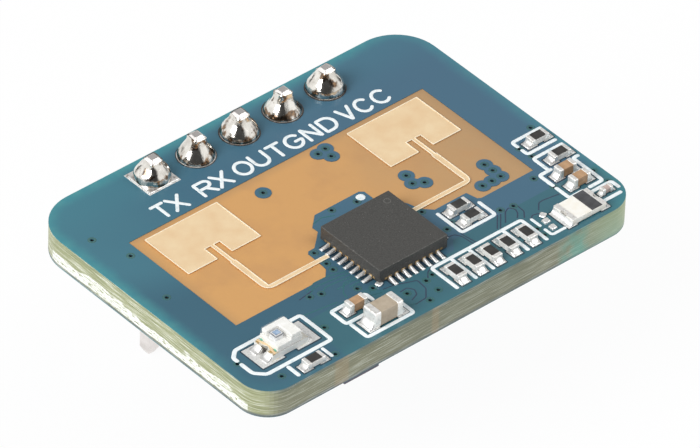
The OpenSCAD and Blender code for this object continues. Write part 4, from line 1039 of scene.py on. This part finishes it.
# Solids whose edges are rounded here: node, finish, slot, radius in millimetres
ROUNDED = [
    ("header_strip", STRIP, "header_plastic", 0.05),
    *[("pin_" + name, PIN_METAL, "pin_metal", 0.04) for name in ("tx", "rx", "out", "ground", "supply")],
    ("chip_aerial_body", CREAM, "cream_ceramic", 0.03),
    ("chip_aerial_terminals", END_METAL, "end_metal", 0.006), ("controller_body", MOULD, "chip_mould", 0.035),
    ("crystal_case", DARK_CERAMIC, "dark_ceramic", 0.03), ("crystal_lid", END_METAL, "lid_metal", 0.02),
    ("regulator_body", MOULD, "chip_mould", 0.05), ("regulator_leads", END_METAL, "end_metal", 0.02),
    ("rear_resistor_cores", ALUMINA, "white_alumina", 0.01),
    ("rear_resistor_terminals", END_METAL, "end_metal", 0.006),
    ("rear_capacitor_cores", TAN_CERAMIC, "tan_ceramic", 0.01),
    ("rear_capacitor_terminals", END_METAL, "end_metal", 0.006),
]


def dress_solids():
    """Gives the CAD solids that show their finishes, and rounds the edges of others in copies."""
    for node, finish in CAD_FINISHES.items():
        mesh = nodes[node].data
        mesh.materials.clear()
        mesh.materials.append(finish)
    for node, finish, slot_name, radius in ROUNDED:
        softened(node, "rounded_" + node, finish, slot_name, radius)


# Floor, light and camera

def white_floor():
    """A plain white sheet just under the pins' ends, which keeps the board's shadow."""
    material, place = new_material("white_paper_floor")
    white = shades(material, patches(material, place, 30.0), (0.4, "#f7f7f7"), (0.6, "#fbfbfb"))
    paper = add(material, "BsdfDiffuse", {"Color": white})[0]
    glow = add(material, "Emission", {"Color": [1, 1, 1, 1], "Strength": 1.0})[0]
    rays = add(material, "LightPath")
    seen = either(material, rays["Is Camera Ray"], rays["Is Glossy Ray"], rays["Is Transmission Ray"])
    both = add(material, "MixShader", {0: together(material, seen, 0.95), 1: paper, 2: glow})[0]
    add(material, "OutputMaterial", {"Surface": both})
    shape = bmesh.new()
    bmesh.ops.create_grid(shape, x_segments=8, y_segments=8, size=3.0)
    bmesh.ops.translate(shape, verts=shape.verts, vec=(0, 0, -6.05 * MM))
    mesh = bpy.data.meshes.new("floor")
    shape.to_mesh(mesh)
    shape.free()
    mesh.materials.append(material)
    floor = bpy.data.objects.new("floor", mesh)
    bpy.context.scene.collection.objects.link(floor)


def soft_box(name, place, size, power):
    """A square studio lamp that faces the board."""
    board = Vector((0, -0.007, 0.004))
    lamp = bpy.data.lights.new(name, "AREA")
    lamp.size = size
    lamp.energy = power
    lamp_object = bpy.data.objects.new(name, lamp)
    bpy.context.scene.collection.objects.link(lamp_object)
    lamp_object.location = Vector(place)
    lamp_object.rotation_euler = (board - Vector(place)).to_track_quat("-Z", "Y").to_euler()


def lobe(world, direction, axis, low, high):
    """1 where the direction is near the axis, 0 away from it."""
    nearness = add(world, "VectorMath", {0: direction, 1: Vector(axis).normalized()}, operation="DOT_PRODUCT")
    return fade(world, nearness["Value"], low, high)


def studio():
    """Two soft lamps and a white room; metal sees white cards beside the board and a dark camera side."""
    soft_box("key_from_the_left", (-0.5, 0.0, 0.42), 0.35, 3.3)
    soft_box("fill_from_the_right", (0.35, -0.3, 0.55), 0.35, 1.3)
    world = bpy.data.worlds.new("studio")
    bpy.context.scene.world = world
    world.use_nodes = True
    world.node_tree.nodes.clear()
    rays = add(world, "LightPath")
    direction = add(world, "TexCoord")["Generated"]
    behind = together(world, lobe(world, direction, (0.52, 0.57, 0.64), 0.55, 0.95), 0.4)
    cards = either(world, lobe(world, direction, (-1.0, 0.62, 0.3), 0.7, 0.9),
                   lobe(world, direction, (0.7, -1.0, 0.3), 0.7, 0.9), behind)
    white = [1, 1, 1, 1]
    mirrored = add(world, "Background", {"Color": white, "Strength": scaled(world, cards, 1.0, 0.06)})[0]
    room = add(world, "Background", {"Color": hex_colour("#e6e8ea"), "Strength": 0.5})[0]
    backdrop = add(world, "Background", {"Color": white, "Strength": 1.0})[0]
    lit = add(world, "MixShader", {0: rays["Is Glossy Ray"], 1: room, 2: mirrored})[0]
    seen = either(world, rays["Is Camera Ray"], rays["Is Transmission Ray"])
    add(world, "OutputWorld", {"Surface": add(world, "MixShader", {0: seen, 1: lit, 2: backdrop})[0]})


def long_lens():
    """The photograph's view: a long lens at the board's left front corner."""
    camera = bpy.data.cameras.new("camera")
    camera.sensor_width = 36.0
    camera.lens = 452.3
    camera.clip_start = 0.05
    camera.clip_end = 20.0
    view = bpy.data.objects.new("camera", camera)
    bpy.context.scene.collection.objects.link(view)
    right = Vector((0.75352394, -0.6567854, 0.02888962))
    up = Vector((0.40160493, 0.49465935, 0.77073057))
    back = right.cross(up)
    turn = Matrix((right, up, back)).transposed().to_4x4()
    eye = (Vector((-202.4227, -222.3827, 247.1802)) + BOARD_ORIGIN) * MM
    view.matrix_world = Matrix.Translation(eye) @ turn
    bpy.context.scene.camera = view


dress_solids()
printed_outlines()
pin_labels()
under_the_mask()
via_collars()
aerial("transmit_patch", "transmit_aerial", PATCH_X - PATCH_SPAN / 2, 1, 0.5)
aerial("receive_patch", "receive_aerial", PATCH_X + PATCH_SPAN / 2, -1, 0.45)
header_joints()
resistors()
capacitors()
small_part_solder()
gaps_round_pads()
flux_between_leads()
radar_chip()
light_sensor()
stray_solder()
white_floor()
studio()
long_lens()
bpy.context.scene.view_settings.view_transform = "Standard"
